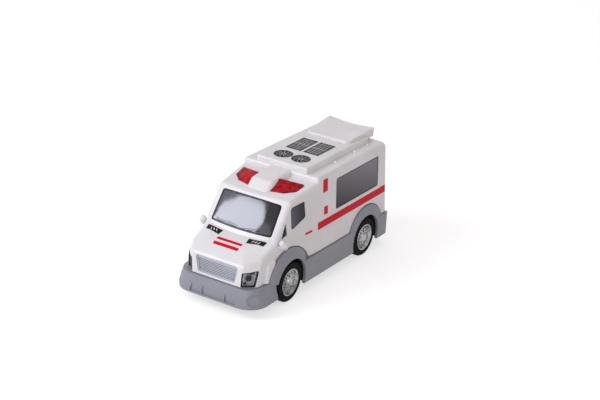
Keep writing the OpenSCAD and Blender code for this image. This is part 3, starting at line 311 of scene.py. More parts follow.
@dataclass(frozen=True)
class Finishes:
    """Every finish of the toy."""

    # Polished ABS: a clear sheen and an almost even white, a little warmer where the melt ran thin.
    white: Finish = Finish("white_abs", "#EDEBEC", "#E6E3E3", 0.33, grain_mm=6.0,
                           grain_depth_mm=0.01, ior=1.53)
    # Satin ABS from a spark-eroded mould. The real grit is 0.1 mm, drawn coarser here to show.
    grey: Finish = Finish("grey_abs", "#96979F", "#8E8F97", 0.44, surface=Surface.SPARK_ERODED,
                          grain_mm=0.9, grain_depth_mm=0.02, ior=1.53, specular=0.4)
    # Matt ABS of the chassis and gearbox, with the same grit.
    black: Finish = Finish("black_abs", "#1D1C1E", "#151416", 0.6, surface=Surface.SPARK_ERODED,
                           grain_mm=0.9, grain_depth_mm=0.03, ior=1.53, specular=0.3)
    # Smoked clear polystyrene: dark grey, hard gloss, and the inside of the toy faint behind it.
    smoked: Finish = Finish("smoked_polystyrene", "#2A282F", "#1D1B21", 0.05, drift_mm=40.0,
                            grain_mm=14.0, grain_depth_mm=0.03, ior=1.59, alpha=0.96,
                            specular=0.3, spread=0.02)
    # The same at the sides, with painted light: paler to the top and the back, as if light came
    # through the toy.
    smoked_side: Finish = replace(smoked, name="smoked_polystyrene_thin", colour="#88808C",
                                  shade="#151316", alpha=0.95, specular=0.14,
                                  fade=(-0.009, 0.0, 0.026), fade_start=1.75)
    # The same in the doors, with painted light: paler to the front, as if the light of the cab came
    # through.
    smoked_door: Finish = replace(smoked_side, name="smoked_polystyrene_door", colour="#6A6478",
                                  shade="#262428", fade=(0.055, 0.0, -0.012), fade_start=0.95)
    # Dark printed edge of a window or lamp, under the same gloss.
    edging: Finish = Finish("black_window_edging", "#1C1B1D", "#151416", 0.16, grain_mm=6.0,
                            ior=1.53, specular=0.12)
    # Clear polystyrene of a headlamp: hardly there but for its gloss.
    clear: Finish = Finish("clear_polystyrene", "#B5B5BA", "#ADADB3", 0.05, grain_mm=8.0, ior=1.59,
                           alpha=0.05, specular=0.3, spread=0.02)
    # Red polystyrene with small prisms moulded inside, which break the light into cells. The strong
    # drift between bright and dark red paints the light and shade of those cells.
    red: Finish = Finish("red_polystyrene", "#E0122A", "#6E0410", 0.08, drift_mm=6.0,
                         surface=Surface.PRISMATIC, grain_mm=2.6, grain_depth_mm=0.1, ior=1.59,
                         specular=0.08, spread=0.03)
    # The thick edge of the same lens, painted darker red as the shade and depth of colour there.
    red_edge: Finish = Finish("red_polystyrene_edge", "#7A0512", "#5C030D", 0.1, drift_mm=6.0,
                              grain_mm=4.0, ior=1.59, specular=0.08)
    # Painted shade: darker silver on the ground behind the bars of the grille and in the seam round
    # it.
    silver_ground: Finish = Finish("dark_silver_paint", "#5A5E66", "#50545B", 0.45, grain_mm=1.0,
                                   metallic=0.3)
    # Silver paint on plastic: half metallic, fine flake.
    silver: Finish = Finish("silver_paint", "#B2B5BD", "#A8ABB3", 0.36,
                            surface=Surface.SPARK_ERODED, grain_mm=0.7, metallic=0.55)
    # Vacuum-plated ABS: a bright mirror, whose tone drifts between light and dark patches that are
    # painted reflections.
    plated: Finish = Finish("plated_abs", "#B5B4B5", "#6B6A6B", 0.13, drift_mm=7.0, grain_mm=2.6,
                            grain_depth_mm=0.09, metallic=1.0)
    # The same plating down in the dish of a wheel, painted darker as the shade there and the
    # reflection of the tyre and the arch.
    plated_deep: Finish = Finish("plated_abs_dish", "#848384", "#424142", 0.2, drift_mm=4.0,
                                 grain_mm=2.0, grain_depth_mm=0.05, metallic=1.0)
    # The same plating behind a headlamp's lens, painted dimmer and darker as the reflection of the
    # dark cab behind it.
    plated_lamp: Finish = replace(plated_deep, name="plated_abs_lamp", colour="#8F8D95",
                                  shade="#716F77", roughness=0.24, drift_mm=5.0)
    # Soft PVC of a tyre: near black, dull, faintly dusty.
    rubber: Finish = Finish("soft_pvc", "#151314", "#0F0D0E", 0.75, drift_mm=8.0,
                            surface=Surface.SPARK_ERODED, grain_mm=0.8, grain_depth_mm=0.03,
                            specular=0.12)
    # Drawn steel wire: fine lines along its length.
    steel: Finish = Finish("drawn_steel", "#B9B9BB", "#A3A3A6", 0.3, surface=Surface.DRAWN,
                           grain_mm=0.4, grain_depth_mm=0.006, metallic=1.0)
    # Natural acetal of the gears: milky, waxy.
    acetal: Finish = Finish("natural_acetal", "#E4DFD0", "#DAD4C4", 0.38, grain_mm=2.0)
    # Printed vinyl: even colour under a low gloss.
    red_vinyl: Finish = Finish("red_vinyl", "#E01B2E", "#D61728", 0.4, grain_mm=2.5, specular=0.08)
    dark_vinyl: Finish = Finish("dark_vinyl", "#262427", "#1E1D1F", 0.45, grain_mm=2.5,
                                specular=0.08)
    # White ink printed on vinyl, a little thin.
    white_ink: Finish = Finish("white_ink", "#F0EEF0", "#E6E4E6", 0.45, grain_mm=2.5, specular=0.2)
    # Matt black: painted shade in the holes of a wheel, and the dark lamp in a headlamp's bowl. It
    # takes almost all light.
    hollow: Finish = Finish("matt_black_lacquer", "#1E1E1F", "#161617", 0.6, grain_mm=1.5,
                            specular=0.2)


def deselect() -> None:
    """Leave edit mode and select nothing."""
    active = bpy.context.view_layer.objects.active
    if active is not None and active.mode != "OBJECT":
        bpy.ops.object.mode_set(mode="OBJECT")
    bpy.ops.object.select_all(action="DESELECT")


def activate(obj: Obj) -> None:
    """Select one object alone and make it the active one.

    Args:
        obj: Object to select.
    """
    deselect()
    obj.select_set(True)
    bpy.context.view_layer.objects.active = obj


@contextmanager
def editing(obj: Obj) -> Iterator[None]:
    """Hold one object in edit mode with nothing selected.

    Args:
        obj: Mesh object to edit.

    Returns:
        A context that ends in object mode.
    """
    activate(obj)
    bpy.ops.object.mode_set(mode="EDIT")
    bpy.ops.mesh.select_mode(type="FACE")
    bpy.ops.mesh.select_all(action="DESELECT")
    try:
        yield
    finally:
        bpy.ops.object.mode_set(mode="OBJECT")


def pick_faces(obj: Obj, test: FaceTest) -> None:
    """Select the faces of an object in edit mode that pass a test.

    Args:
        obj: Object in edit mode.
        test: True for a face to select.
    """
    bpy.ops.mesh.select_all(action="DESELECT")
    for face in bmesh.from_edit_mesh(obj.data).faces:
        if test(face):
            face.select_set(True)
    bmesh.update_edit_mesh(obj.data)


def paint_picked(obj: Obj, slot: Slot) -> None:
    """Give the faces selected in edit mode a material slot.

    Args:
        obj: Object in edit mode.
        slot: The slot.
    """
    for face in bmesh.from_edit_mesh(obj.data).faces:
        if face.select:
            face.material_index = slot
    bmesh.update_edit_mesh(obj.data)


def merge_flat(degrees: float) -> None:
    """Merge the faces in edit mode that lie flat within an angle, and leave all selected."""
    bpy.ops.mesh.select_all(action="SELECT")
    bpy.ops.mesh.dissolve_limited(angle_limit=math.radians(degrees))


def hub_distance(face: Face) -> float:
    """Give how far the middle of a face is from the Y axis, in millimetres."""
    return math.hypot(*face.calc_center_median().xz) / MM


def facet(face: Face, steps: int) -> int:
    """Give the number of the facet about the Y axis that a face lies in, out of so many."""
    spot = face.calc_center_median()
    return int(math.atan2(spot.z, spot.x) * steps / (2 * math.pi) + steps)


def corners(points: list[Vector]) -> tuple[Vector, Vector]:
    """Give the lowest and highest corner of some points."""
    low, high = (Vector([pick(p[i] for p in points) for i in range(3)]) for pick in (min, max))
    return low, high


def weld(obj: Obj, outward: bool = False, gap_mm: float = WELD_GAP) -> None:
    """Merge the doubled points of a mesh.

    Args:
        obj: Object to weld.
        outward: True to turn all faces outward as well.
        gap_mm: Distance within which points are one.
    """
    with editing(obj):
        bpy.ops.mesh.select_all(action="SELECT")
        bpy.ops.mesh.remove_doubles(threshold=gap_mm * MM)
        if outward:
            bpy.ops.mesh.normals_make_consistent(inside=False)


def modify(obj: Obj, kind: str, **settings: object) -> None:
    """Add a modifier and apply it.

    Args:
        obj: Object that takes it.
        kind: Blender's type of modifier.
        settings: Its settings.
    """
    activate(obj)
    bpy.ops.object.modifier_add(type=kind)
    modifier = obj.modifiers[-1]
    for key, value in settings.items():
        setattr(modifier, key, value)
    bpy.ops.object.modifier_apply(modifier=modifier.name)


def smooth(obj: Obj, degrees: float = SMOOTH, weighted: bool = True) -> None:
    """Shade a mesh smooth up to an angle, with flat faces kept flat.

    Args:
        obj: Object to shade.
        degrees: Angle above which an edge stays sharp.
        weighted: True to weigh the normals by face area.
    """
    activate(obj)
    bpy.ops.object.shade_smooth_by_angle(angle=math.radians(degrees))
    if weighted:
        modify(obj, "WEIGHTED_NORMAL", keep_sharp=True, weight=NORMAL_WEIGHT)


def settle(obj: Obj) -> None:
    """Put an object's place, turn and scale into its mesh."""
    activate(obj)
    bpy.ops.object.transform_apply(location=True, rotation=True, scale=True)


def join(parts: list[Obj], name: str) -> Obj:
    """Join several objects into one.

    Args:
        parts: Objects to join, the first of which stays.
        name: Name of the result.

    Returns:
        The joined object.
    """
    activate(parts[0])
    for part in parts[1:]:
        part.select_set(True)
    if len(parts) > 1:
        bpy.ops.object.join()
    parts[0].name = name
    return parts[0]


def placed_copy(obj: Obj, name: str, matrix: Matrix) -> Obj:
    """Copy a finished piece to another place, with a mesh of its own.

    Args:
        obj: Piece to copy.
        name: Name of the copy.
        matrix: Where the copy goes.

    Returns:
        The copy.
    """
    copy = obj.copy()
    copy.data = obj.data.copy()
    copy.name = name
    bpy.context.scene.collection.objects.link(copy)
    copy.matrix_world = matrix
    settle(copy)
    return copy


def repeat(master: Obj, places: Iterable[Matrix]) -> list[Obj]:
    """Set copies of a piece that was modelled once, and take the first one away.

    Args:
        master: The piece, modelled about the origin.
        places: Where the copies go.

    Returns:
        The copies, each with a mesh of its own.
    """
    copies = [placed_copy(master, f"{master.name}_{i}", place) for i, place in enumerate(places)]
    bpy.data.objects.remove(master)
    return copies


def lathe(name: str, profile: Iterable[Pair], steps: int) -> Obj:
    """Spin a profile about the Y axis.

    Args:
        name: Name of the object.
        profile: Radius and place along Y of each point, in millimetres.
        steps: Number of facets around.

    Returns:
        The closed solid of revolution.
    """
    deselect()
    bpy.ops.mesh.primitive_plane_add(size=MM)
    obj = bpy.context.object
    obj.name = name
    with editing(obj):
        bpy.ops.mesh.select_mode(type="VERT")
        bpy.ops.mesh.select_all(action="SELECT")
        bpy.ops.mesh.merge(type="CENTER")
        last = Vector((0.0, 0.0, 0.0))
        for index, (radius, y) in enumerate(profile):
            here = Vector((radius * MM, y * MM, 0.0))
            if index == 0:
                bpy.ops.transform.translate(value=here - last)
            else:
                bpy.ops.mesh.extrude_region_move(TRANSFORM_OT_translate={"value": here - last})
            last = here
        bpy.ops.mesh.select_all(action="SELECT")
        bpy.ops.mesh.spin(steps=steps, angle=2 * math.pi, center=(0, 0, 0), axis=(0, 1, 0))
    weld(obj, outward=True, gap_mm=LATHE_GAP)
    return obj


def block(size: Point, edge: float, centre: Point = (0.0, 0.0, 0.0),
          turn: Point = (0.0, 0.0, 0.0)) -> Obj:
    """Make a bar with softened edges.

    Args:
        size: Its size along X, Y and Z before it is turned, in millimetres.
        edge: Width of its softened edges, in millimetres.
        centre: Its middle, in millimetres.
        turn: Turn about X, Y and Z, in radians.

    Returns:
        The bar, with its place in its mesh.
    """
    deselect()
    bpy.ops.mesh.primitive_cube_add(size=1, location=Vector(centre) * MM, rotation=turn)
    obj = bpy.context.object
    obj.scale = Vector(size) * MM
    settle(obj)
    modify(obj, "BEVEL", width=edge * MM, segments=BEVEL_SEGMENTS)
    return obj


def edge_round(obj: Obj, outward: Vector, width: float) -> None:
    """Mark off an edging of even width on the outer and inner face of a pane.

    Args:
        obj: The pane, whose middle gets the main slot and all else the edge's.
        outward: Direction that the pane faces.
        width: Width of the edging, in millimetres.
    """
    with editing(obj):
        merge_flat(PANE_FLAT)
        paint_picked(obj, Slot.EDGE)
        pick_faces(obj, lambda f: abs(f.normal.dot(outward)) > PANE_FACING)
        bpy.ops.mesh.inset(thickness=width * MM, use_boundary=True, use_even_offset=True)
        paint_picked(obj, Slot.MAIN)


def meet(target: Obj, start: Vector, toward: Vector) -> tuple[Vector, Vector]:
    """Find where a straight line meets a piece.

    Args:
        target: The piece.
        start: Start of the line, in millimetres.
        toward: Its direction.

    Returns:
        The place in metres and the normal there.
    """
    bpy.context.view_layer.update()
    hit, place, normal, _ = target.ray_cast(start * MM, toward)
    if not hit:
        raise ValueError(f"{target.name} is not met from {tuple(start)}")
    return place, normal


class Workshop:
    """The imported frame, the finishes and what is done with every piece."""

    def __init__(self) -> None:
        """Load the frame and note its box."""
        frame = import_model()
        self.cad_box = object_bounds()
        self.nodes: dict[str, Obj] = frame["nodes"]
        self.finishes = Finishes()
        self.made: dict[str, bpy.types.Material] = {}
        record = frame["record"]
        self.slots = {part["node"]: part["material_slot"] for part in record["subparts"]}
        self.bodies = {node: body for body, members in record["behaviour"]["bodies"].items()
                       for node in members}

    def box(self, node: str) -> tuple[Vector, Vector]:
        """Give the lowest and highest corner of a node, in millimetres."""
        low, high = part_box(node)
        return low / MM, high / MM

    def material(self, key: str) -> bpy.types.Material:
        """Give the material of a finish, and make it the first time.

        Args:
            key: Name of the finish.

        Returns:
            The material.
        """
        if key not in self.made:
            self.made[key] = getattr(self.finishes, key).build()
        return self.made[key]

    def copy_of(self, node: str, name: str) -> Obj:
        """Copy a node's mesh, welded, as the start of a finer piece.

        Args:
            node: Node to copy.
            name: Name of the new piece.

        Returns:
            The copy, which rides on nothing yet.
        """
        mesh = self.nodes[node].data.copy()
        mesh.materials.clear()
        obj = bpy.data.objects.new(name, mesh)
        bpy.context.scene.collection.objects.link(obj)
        activate(obj)
        bpy.ops.mesh.customdata_custom_splitnormals_clear()
        weld(obj)
        return obj

    def dress(self, obj: Obj, *keys: str) -> None:
        """Give an object its materials, one per slot.

        Args:
            obj: Object to dress.
            keys: Names of the finishes, in the order of the slots.
        """
        slots = obj.data.materials
        for index, key in enumerate(keys):
            if index == len(slots):
                slots.append(None)
            slots[index] = self.material(key)

    def place(self, obj: Obj, node: str, *keys: str, stands: bool = True) -> Obj:
        """Dress a new piece and let it ride where a node does.

        Args:
            obj: The new piece.
            node: Node that it stands for or lies on.
            keys: Names of its finishes.
            stands: True where it replaces the node.

        Returns:
            The piece.
        """
        self.dress(obj, *keys)
        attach(obj, self.bodies[node])
        if stands:
            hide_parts(node)
        LOG.info("piece %s on %s, %d faces", obj.name, self.bodies[node], len(obj.data.polygons))
        return obj

    def refine(self, node: str, name: str, key: str, degrees: float = SMOOTH) -> Obj:
        """Let a welded and smooth-shaded copy stand for a node.

        Args:
            node: The node.
            name: Name of the new piece.
            key: Name of its finish.
            degrees: Angle above which an edge stays sharp.

        Returns:
            The piece.
        """
        piece = self.copy_of(node, name)
        smooth(piece, degrees)
        return self.place(piece, node, key)

    def overlay(self, parts: list[Obj], name: str, node: str, key: str) -> None:
        """Join fine lines into one piece that lies on a node.

        Args:
            parts: The lines.
            name: Name of the piece.
            node: Node that it lies on.
            key: Name of its finish.
        """
        lines = join(parts, name)
        smooth(lines, weighted=False)
        self.place(lines, node, key, stands=False)

    def keep(self, key: str, *nodes: str) -> None:
        """Dress nodes whose shape is right as it is.

        Args:
            key: Name of the finish.
            nodes: Nodes that take it.
        """
        for node in nodes:
            self.dress(self.nodes[node], key)
            LOG.info("node %s in %s", node, key)


@dataclass
class Assembly:
    """A sub-assembly, with the workshop that makes it."""

    shop: Workshop

    def build(self) -> None:
        """Make the pieces and dress them."""
        raise NotImplementedError


@dataclass
class Shell(Assembly):
    """White upper body with its roof pod and mirrors, and the grey lower body."""

    soft_edge: float = 0.3
    flat_degrees: float = 0.4
    sharp_degrees: float = 40.0
    body_smooth: float = 32.0
    mirror_smooth: float = 50.0
    seam: float = 0.7
    seam_z: Pair = (24.5, 31.0)
    seam_down: float = 0.8
    arch_r: float = 29.6
    arch_within: float = 0.3
    arch_inward: float = 0.9

    def build(self) -> None:
        """Make the smooth-shaded shells, with a fine gap where the two bodies meet."""
        shop = self.shop
        upper = shop.copy_of("upper_body", "upper_body_moulding")
        hubs = [sum(shop.box(f"{axle.value}_left_tyre"), Vector()) / 2 for axle in Axle]
        with editing(upper):
            pick_faces(upper, lambda f: self.on_seam(f, hubs))
            bpy.ops.transform.shrink_fatten(value=-self.seam * MM)
        smooth(upper, self.body_smooth)
        shop.place(upper, "upper_body", "white")
        for side in Side:
            shop.refine(f"mirror_{side.word}", f"mirror_moulding_{side.word}", "white",
                        self.mirror_smooth)
        for node, key in (("lower_body", "grey"), ("roof_pod", "white")):
            piece = shop.copy_of(node, f"{node}_moulding")
            self.soften(piece)
            smooth(piece, self.body_smooth)
            shop.place(piece, node, key)

    def on_seam(self, face: Face, hubs: list[Vector]) -> bool:
        """Tell whether a face of the upper body rests on the lower body.

        Args:
            face: Face to test.
            hubs: Middle of a wheel on each axle, in millimetres.

        Returns:
            True for the lower edges and for the edges round the wheel arches.
        """
        spot = face.calc_center_median() / MM
        if face.normal.z < -self.seam_down and self.seam_z[0] < spot.z < self.seam_z[1]:
            return True
        for hub in hubs:
            inward = Vector((hub.x - spot.x, 0, hub.z - spot.z))
            near = abs(inward.length - self.arch_r) < self.arch_within
            if near and face.normal.dot(inward.normalized()) > self.arch_inward:
                return True
        return False

    def soften(self, obj: Obj) -> None:
        """Round the sharp edges of a moulding a little.

        Args:
            obj: The moulding.
        """
        with editing(obj):
            merge_flat(self.flat_degrees)
        modify(obj, "BEVEL", width=self.soft_edge * MM, segments=BEVEL_SEGMENTS,
               limit_method="ANGLE", angle_limit=math.radians(self.sharp_degrees),
               use_clamp_overlap=True)


@dataclass
class Glazing(Assembly):
    """Smoked windows, each with a dark edging, and the wipers."""

    edging: float = 1.0
    screen_edging: float = 1.6
    screen_out: Point = (0.82, 0.0, 0.57)
    line: float = 0.32
    line_edge: float = 0.05
    blade_gap: float = 1.0
    reach: float = 120.0
    arms: tuple[tuple[Pair, ...], ...] = (
        ((-25.0, 61.4), (-20.0, 60.7), (-14.0, 61.3), (-8.0, 61.0), (-2.5, 60.7)),
        ((1.5, 60.0), (7.0, 60.6), (13.0, 61.3), (19.0, 61.9)))

    def build(self) -> None:
        """Lay the wipers and make every pane from its node."""
        self.wipers()
        self.pane("windscreen", Vector(self.screen_out), self.screen_edging)
        for side in Side:
            outward = Vector((0.0, side.value, 0.0))
            # The door and side panes take smoked finishes with a painted gradient of light.
            self.pane(f"door_window_{side.word}", outward, self.edging, "smoked_door")
            self.pane(f"side_window_{side.word}", outward, self.edging, "smoked_side")
            self.pane(f"back_window_{side.word}", Vector((-1.0, 0.0, 0.0)), self.edging)
            self.shop.refine(f"quarter_window_{side.word}", f"quarter_pane_{side.word}", "edging")

    def pane(self, node: str, outward: Vector, width: float, key: str = "smoked") -> None:
        """Make one window with its edging.

        Args:
            node: Node of the window.
            outward: Direction that the pane faces.
            width: Width of its edging, in millimetres.
            key: Name of the finish of its middle.
        """
        pane = self.shop.copy_of(node, f"{node}_pane")
        edge_round(pane, outward, width)
        smooth(pane)
        self.shop.place(pane, node, key, "edging")

    def wipers(self) -> None:
        """Lay the moulded lines of two wipers on the windscreen."""
        glass = self.shop.nodes["windscreen"]
        parts = []
        for arm in self.arms:
            for rise in (0.0, self.blade_gap):
                spots = [meet(glass, Vector((self.reach, y, z + rise)), Vector((-1, 0, 0)))[0] / MM
                         for y, z in arm]
                for start, end in zip(spots, spots[1:]):
                    run = end - start
                    turn = Vector((1, 0, 0)).rotation_difference(run).to_euler()
                    parts.append(block((run.length, self.line, self.line), self.line_edge,
                                       tuple((start + end) / 2), tuple(turn)))
        self.shop.overlay(parts, "windscreen_wipers", "windscreen", "edging")


@dataclass
class Grille(Assembly):
    """Silver grille: a raised frame, flat bars across and short ties between them."""

    seam_w: float = 0.4
    frame_w: float = 1.5
    recess: float = 0.75
    bars: int = 8
    bar_h: float = 0.8
    bar_t: float = 0.75
    bar_edge: float = 0.1
    tie_pitch: float = 5.2
    tie_w: float = 0.3
    tie_edge: float = 0.06
    taper: float = 3.0
    overlap: float = 0.05
    facing: float = 0.9

    def build(self) -> None:
        """Shape the frame from the node and set the bars and ties into it."""
        plate = self.frame_plate()
        low, high = self.shop.box("grille")
        bottom = low.z + self.frame_w
        pitch = (high.z - low.z - 2 * self.frame_w) / self.bars
        floor = high.x - self.recess
        parts, ties = [plate], []
        for i in range(self.bars):
            z = bottom + (i + 0.5) * pitch
            half = high.y - self.taper * (high.z - z) / (high.z - low.z) - self.frame_w
            parts.append(block((self.bar_t, 2 * half, self.bar_h), self.bar_edge,
                               (floor + self.bar_t / 2 - self.overlap, 0, z)))
            count = int(half / self.tie_pitch)
            shift = 0.5 if i % 2 else 0.0
            for k in range(-count, count):
                y = (k + 0.5 + shift) * self.tie_pitch
                if abs(y) < half - self.tie_w and i < self.bars - 1:
                    spot = Vector((floor + self.bar_t / 4, y, z + pitch / 2))
                    ties.append(Matrix.Translation(spot * MM))
        tie = block((self.bar_t / 2, self.tie_w, pitch - self.bar_h / 2), self.tie_edge)
        grille = join(parts + repeat(tie, ties), "grille_finned")
        smooth(grille, weighted=False)
        self.shop.place(grille, "grille", "silver", "silver_ground")

    def frame_plate(self) -> Obj:
        """Sink the ground of the grille into its plate.

        Returns:
            The plate, with a raised frame, and a seam round it and a sunk ground that are painted
            dark as shade.
        """
        plate = self.shop.copy_of("grille", "grille_frame")
        front = (self.shop.box("grille")[1].x - self.overlap) * MM
        with editing(plate):
            pick_faces(plate, lambda f: f.normal.x > self.facing
                       and f.calc_center_median().x > front)
            paint_picked(plate, Slot.EDGE)
            bpy.ops.mesh.inset(thickness=self.seam_w * MM)
            paint_picked(plate, Slot.MAIN)
            bpy.ops.mesh.inset(thickness=(self.frame_w - self.seam_w) * MM)
            bpy.ops.mesh.extrude_region_move(
                TRANSFORM_OT_translate={"value": (-self.recess * MM, 0, 0)})
            paint_picked(plate, Slot.EDGE)
        return plate


@dataclass
class Headlamps(Assembly):
    """Headlamps: clear lens with a dark edge, bright reflector, two lamp bowls and a hood."""

    edging: float = 0.75
    main_r: float = 3.1
    main_at: Pair = (-0.9, 8.0)
    small_r: float = 1.7
    small_at: Pair = (-3.7, 3.6)
    bowl_h: float = 0.9
    bowl_steps: int = 40
    bowl_smooth: float = 35.0
    # Share of the radius, millimetres beyond it and share of the height, from the foot to the lamp.
    bowl_shape: tuple[Point, ...] = (
        (0, 0, 0), (1, 0, 0), (1, 0, 0.75), (1, -0.12, 0.9), (1, -0.35, 0.86), (1, -0.45, 0.55),
        (0.62, 0, 0.3), (0.5, 0, 0.34), (0.42, 0, 0.62), (0.22, 0, 0.82), (0, 0, 0.86))
    bowl_lip: float = 0.4
    least_up: float = 0.05
    brow: Point = (4.4, 0.6, 1.2)
    brow_edge: float = 0.15
    brow_at: Pair = (1.9, 11.4)
    brow_tilt: float = math.radians(14)
    reach: float = 20.0
    sink: float = 0.25

    def build(self) -> None:
        """Make both headlamps from the nodes of their lens and reflector."""
        level = Matrix.Identity(4)
        main, small = self.bowl(self.main_r), self.bowl(self.small_r)
        brow = block(self.brow, self.brow_edge)
        for side in Side:
            self.lens(side)
            node = f"headlamp_reflector_{side.word}"
            mirror = self.shop.refine(node, f"headlamp_mirror_{side.word}", "plated_lamp")
            tilt = Matrix.Rotation(side.value * self.brow_tilt, 4, "Y")
            for master, name, at, turn, keys in (
                    (main, "main_bowl", self.main_at, level, ("plated_lamp", "hollow")),
                    (small, "small_bowl", self.small_at, level, ("plated_lamp", "hollow")),
                    (brow, "brow", self.brow_at, tilt, ("edging",))):
                where = self.spot(mirror, side, at) @ turn
                piece = placed_copy(master, f"headlamp_{name}_{side.word}", where)
                self.shop.place(piece, node, *keys, stands=False)
        for master in (main, small, brow):
            bpy.data.objects.remove(master)

    def lens(self, side: Side) -> None:
        """Make a lens with its dark edge.

        Args:
            side: Side of the toy.
        """
        node = f"headlamp_lens_{side.word}"
        lens = self.shop.copy_of(node, f"headlamp_glass_{side.word}")
        edge_round(lens, Vector((1, side.value, 0)).normalized(), self.edging)
        smooth(lens)
        self.shop.place(lens, node, "clear", "edging")

    def bowl(self, radius: float) -> Obj:
        """Model a lamp bowl that opens along Y.

        Args:
            radius: Radius of the bowl.

        Returns:
            The bowl, with a dark lamp in it.
        """
        profile = [(radius * share + more, up * self.bowl_h) for share, more, up in self.bowl_shape]
        bowl = lathe("bowl", profile, self.bowl_steps)
        with editing(bowl):
            pick_faces(bowl, lambda f: hub_distance(f) < radius - self.bowl_lip
                       and f.normal.y > self.least_up)
            paint_picked(bowl, Slot.EDGE)
        smooth(bowl, self.bowl_smooth, weighted=False)
        return bowl

    def spot(self, mirror: Obj, side: Side, at: Pair) -> Matrix:
        """Find a place on the reflector, with Y out of it.

        Args:
            mirror: The reflector.
            side: Side of the toy.
            at: Place across the lamp from its middle, outward, and height above its foot.

        Returns:
            The place, sunk a little into the reflector.
        """
        low, high = corners([vert.co / MM for vert in mirror.data.vertices])
        out = Vector((1, side.value, 0)).normalized()
        across = Vector((-1, side.value, 0)).normalized()
        start = (low + high) / 2 + across * at[0] + out * self.reach
        start.z = low.z + at[1]
        place, normal = meet(mirror, start, -out)
        turn = Vector((0, 1, 0)).rotation_difference(normal)
        return Matrix.Translation(place - normal * self.sink * MM) @ turn.to_matrix().to_4x4()


@dataclass
class Beacons(Assembly):
    """Red beacon lenses on the roof and the tail lamps."""

    border: float = 0.6
    flat_degrees: float = 1.0
    least_slope: float = 0.25
    beacon_smooth: float = 28.0

    def build(self) -> None:
        """Make the lenses from their nodes."""
        for side in Side:
            for kind, angle in ((RedLens.BEACON, self.beacon_smooth), (RedLens.TAIL, SMOOTH)):
                node = f"{kind.value}_{side.word}"
                lens = self.shop.copy_of(node, f"{kind.value}_moulding_{side.word}")
                with editing(lens):
                    merge_flat(self.flat_degrees)
                    # The whole lens takes the darker red first, and what stays of it round the edge
                    # is painted shade.
                    paint_picked(lens, Slot.EDGE)
                    pick_faces(lens, lambda f, k=kind: self.shows(f, k))
                    bpy.ops.mesh.inset(thickness=self.border * MM, use_even_offset=True)
                    paint_picked(lens, Slot.MAIN)
                smooth(lens, angle)
                self.shop.place(lens, node, "red", "red_edge")

    def shows(self, face: Face, kind: RedLens) -> bool:
        """Tell whether a face of a lens looks out: a beacon's upward, a tail lamp's back."""
        outward = face.normal.z if kind is RedLens.BEACON else -face.normal.x
        return outward > self.least_slope


@dataclass
class RoofPrints(Assembly):
    """Stickers on the roof deck: two fans and two vent grids, in dark vinyl with pale lines."""

    line: float = 0.27
    line_edge: float = 0.012
    lift: float = 0.04
    margin: float = 0.5
    round_within: float = 1.0
    blades: int = 9
    blade_halves: Pair = (-0.25, 0.25)
    half_share: float = 0.56
    lean: float = 0.45
    hub_r: float = 1.3
    hub_steps: int = 48
    mid_line: float = 0.8
    cells_long: int = 10
    cells_wide: int = 5

    def build(self) -> None:
        """Dress the dark stickers and lay the pale lines on them."""
        self.shop.keep("dark_vinyl", "roof_stickers")
        parts: list[Obj] = []
        plates = self.plates()
        is_round = [abs((high - low).x - (high - low).y) < self.round_within
                    for low, high in plates]
        for wanted, model in ((True, self.fan), (False, self.grid)):
            group = [plate for plate, turned in zip(plates, is_round) if turned is wanted]
            faces = [Vector(((low.x + high.x) / 2, (low.y + high.y) / 2, high.z + self.lift / 2))
                     for low, high in group]
            low, high = group[0]
            parts += repeat(model(high - low), [Matrix.Translation(face * MM) for face in faces])
        self.shop.overlay(parts, "roof_sticker_lines", "roof_stickers", "white_ink")

    def plates(self) -> list[tuple[Vector, Vector]]:
        """Find the box of each loose sticker in the node.

        Returns:
            Lowest and highest corner of each, in millimetres.
        """
        activate(self.shop.copy_of("roof_stickers", "sticker_probe"))
        bpy.ops.mesh.separate(type="LOOSE")
        loose = list(bpy.context.selected_objects)
        boxes = [corners([vert.co / MM for vert in plate.data.vertices]) for plate in loose]
        for plate in loose:
            bpy.data.objects.remove(plate)
        return sorted(boxes, key=lambda box: (round(box[0].x), round(box[0].y)))

    def fan(self, size: Vector) -> Obj:
        """Model the hub and the blades of a fan about the origin.

        Args:
            size: Size of its sticker.

        Returns:
            The lines as one piece.
        """
        half = self.lift / 2
        outer = self.hub_r + self.line
        hub = lathe("hub", [(self.hub_r, -half), (outer, -half), (outer, half), (self.hub_r, half),
                            (self.hub_r, -half)], self.hub_steps)
        hub.rotation_euler = (math.radians(90), 0, 0)
        settle(hub)
        reach = size.x / 2 - self.margin - outer
        halves = []
        for share in self.blade_halves:
            r, a = outer + (0.5 + share) * reach, self.lean * share
            halves.append(block((reach * self.half_share, self.line, self.lift), self.line_edge,
                                (r * math.cos(a), r * math.sin(a), 0),
                                (0, 0, a + self.lean * (1 + 2 * share))))
        turns = [Matrix.Rotation(2 * math.pi * k / self.blades, 4, "Z") for k in range(self.blades)]
        return join([hub, *repeat(join(halves, "blade"), turns)], "fan")

    def grid(self, size: Vector) -> Obj:
        """Model the crossing lines of a vent grid about the origin.

        Args:
            size: Size of its sticker.

        Returns:
            The lines as one piece.
        """
        long, wide = size.x - 2 * self.margin, size.y - 2 * self.margin
        middle = self.cells_long / 2
        parts = [block((self.mid_line, wide, self.lift), self.line_edge)]
        short = block((self.line, wide, self.lift), self.line_edge)
        parts += repeat(short, [Matrix.Translation((long * (i / self.cells_long - 0.5) * MM, 0, 0))
                                for i in range(1, self.cells_long) if i != middle])
        run = block((long, self.line, self.lift), self.line_edge)
        parts += repeat(run, [Matrix.Translation((0, wide * (i / self.cells_wide - 0.5) * MM, 0))
                              for i in range(1, self.cells_wide)])
        return join(parts, "grid")


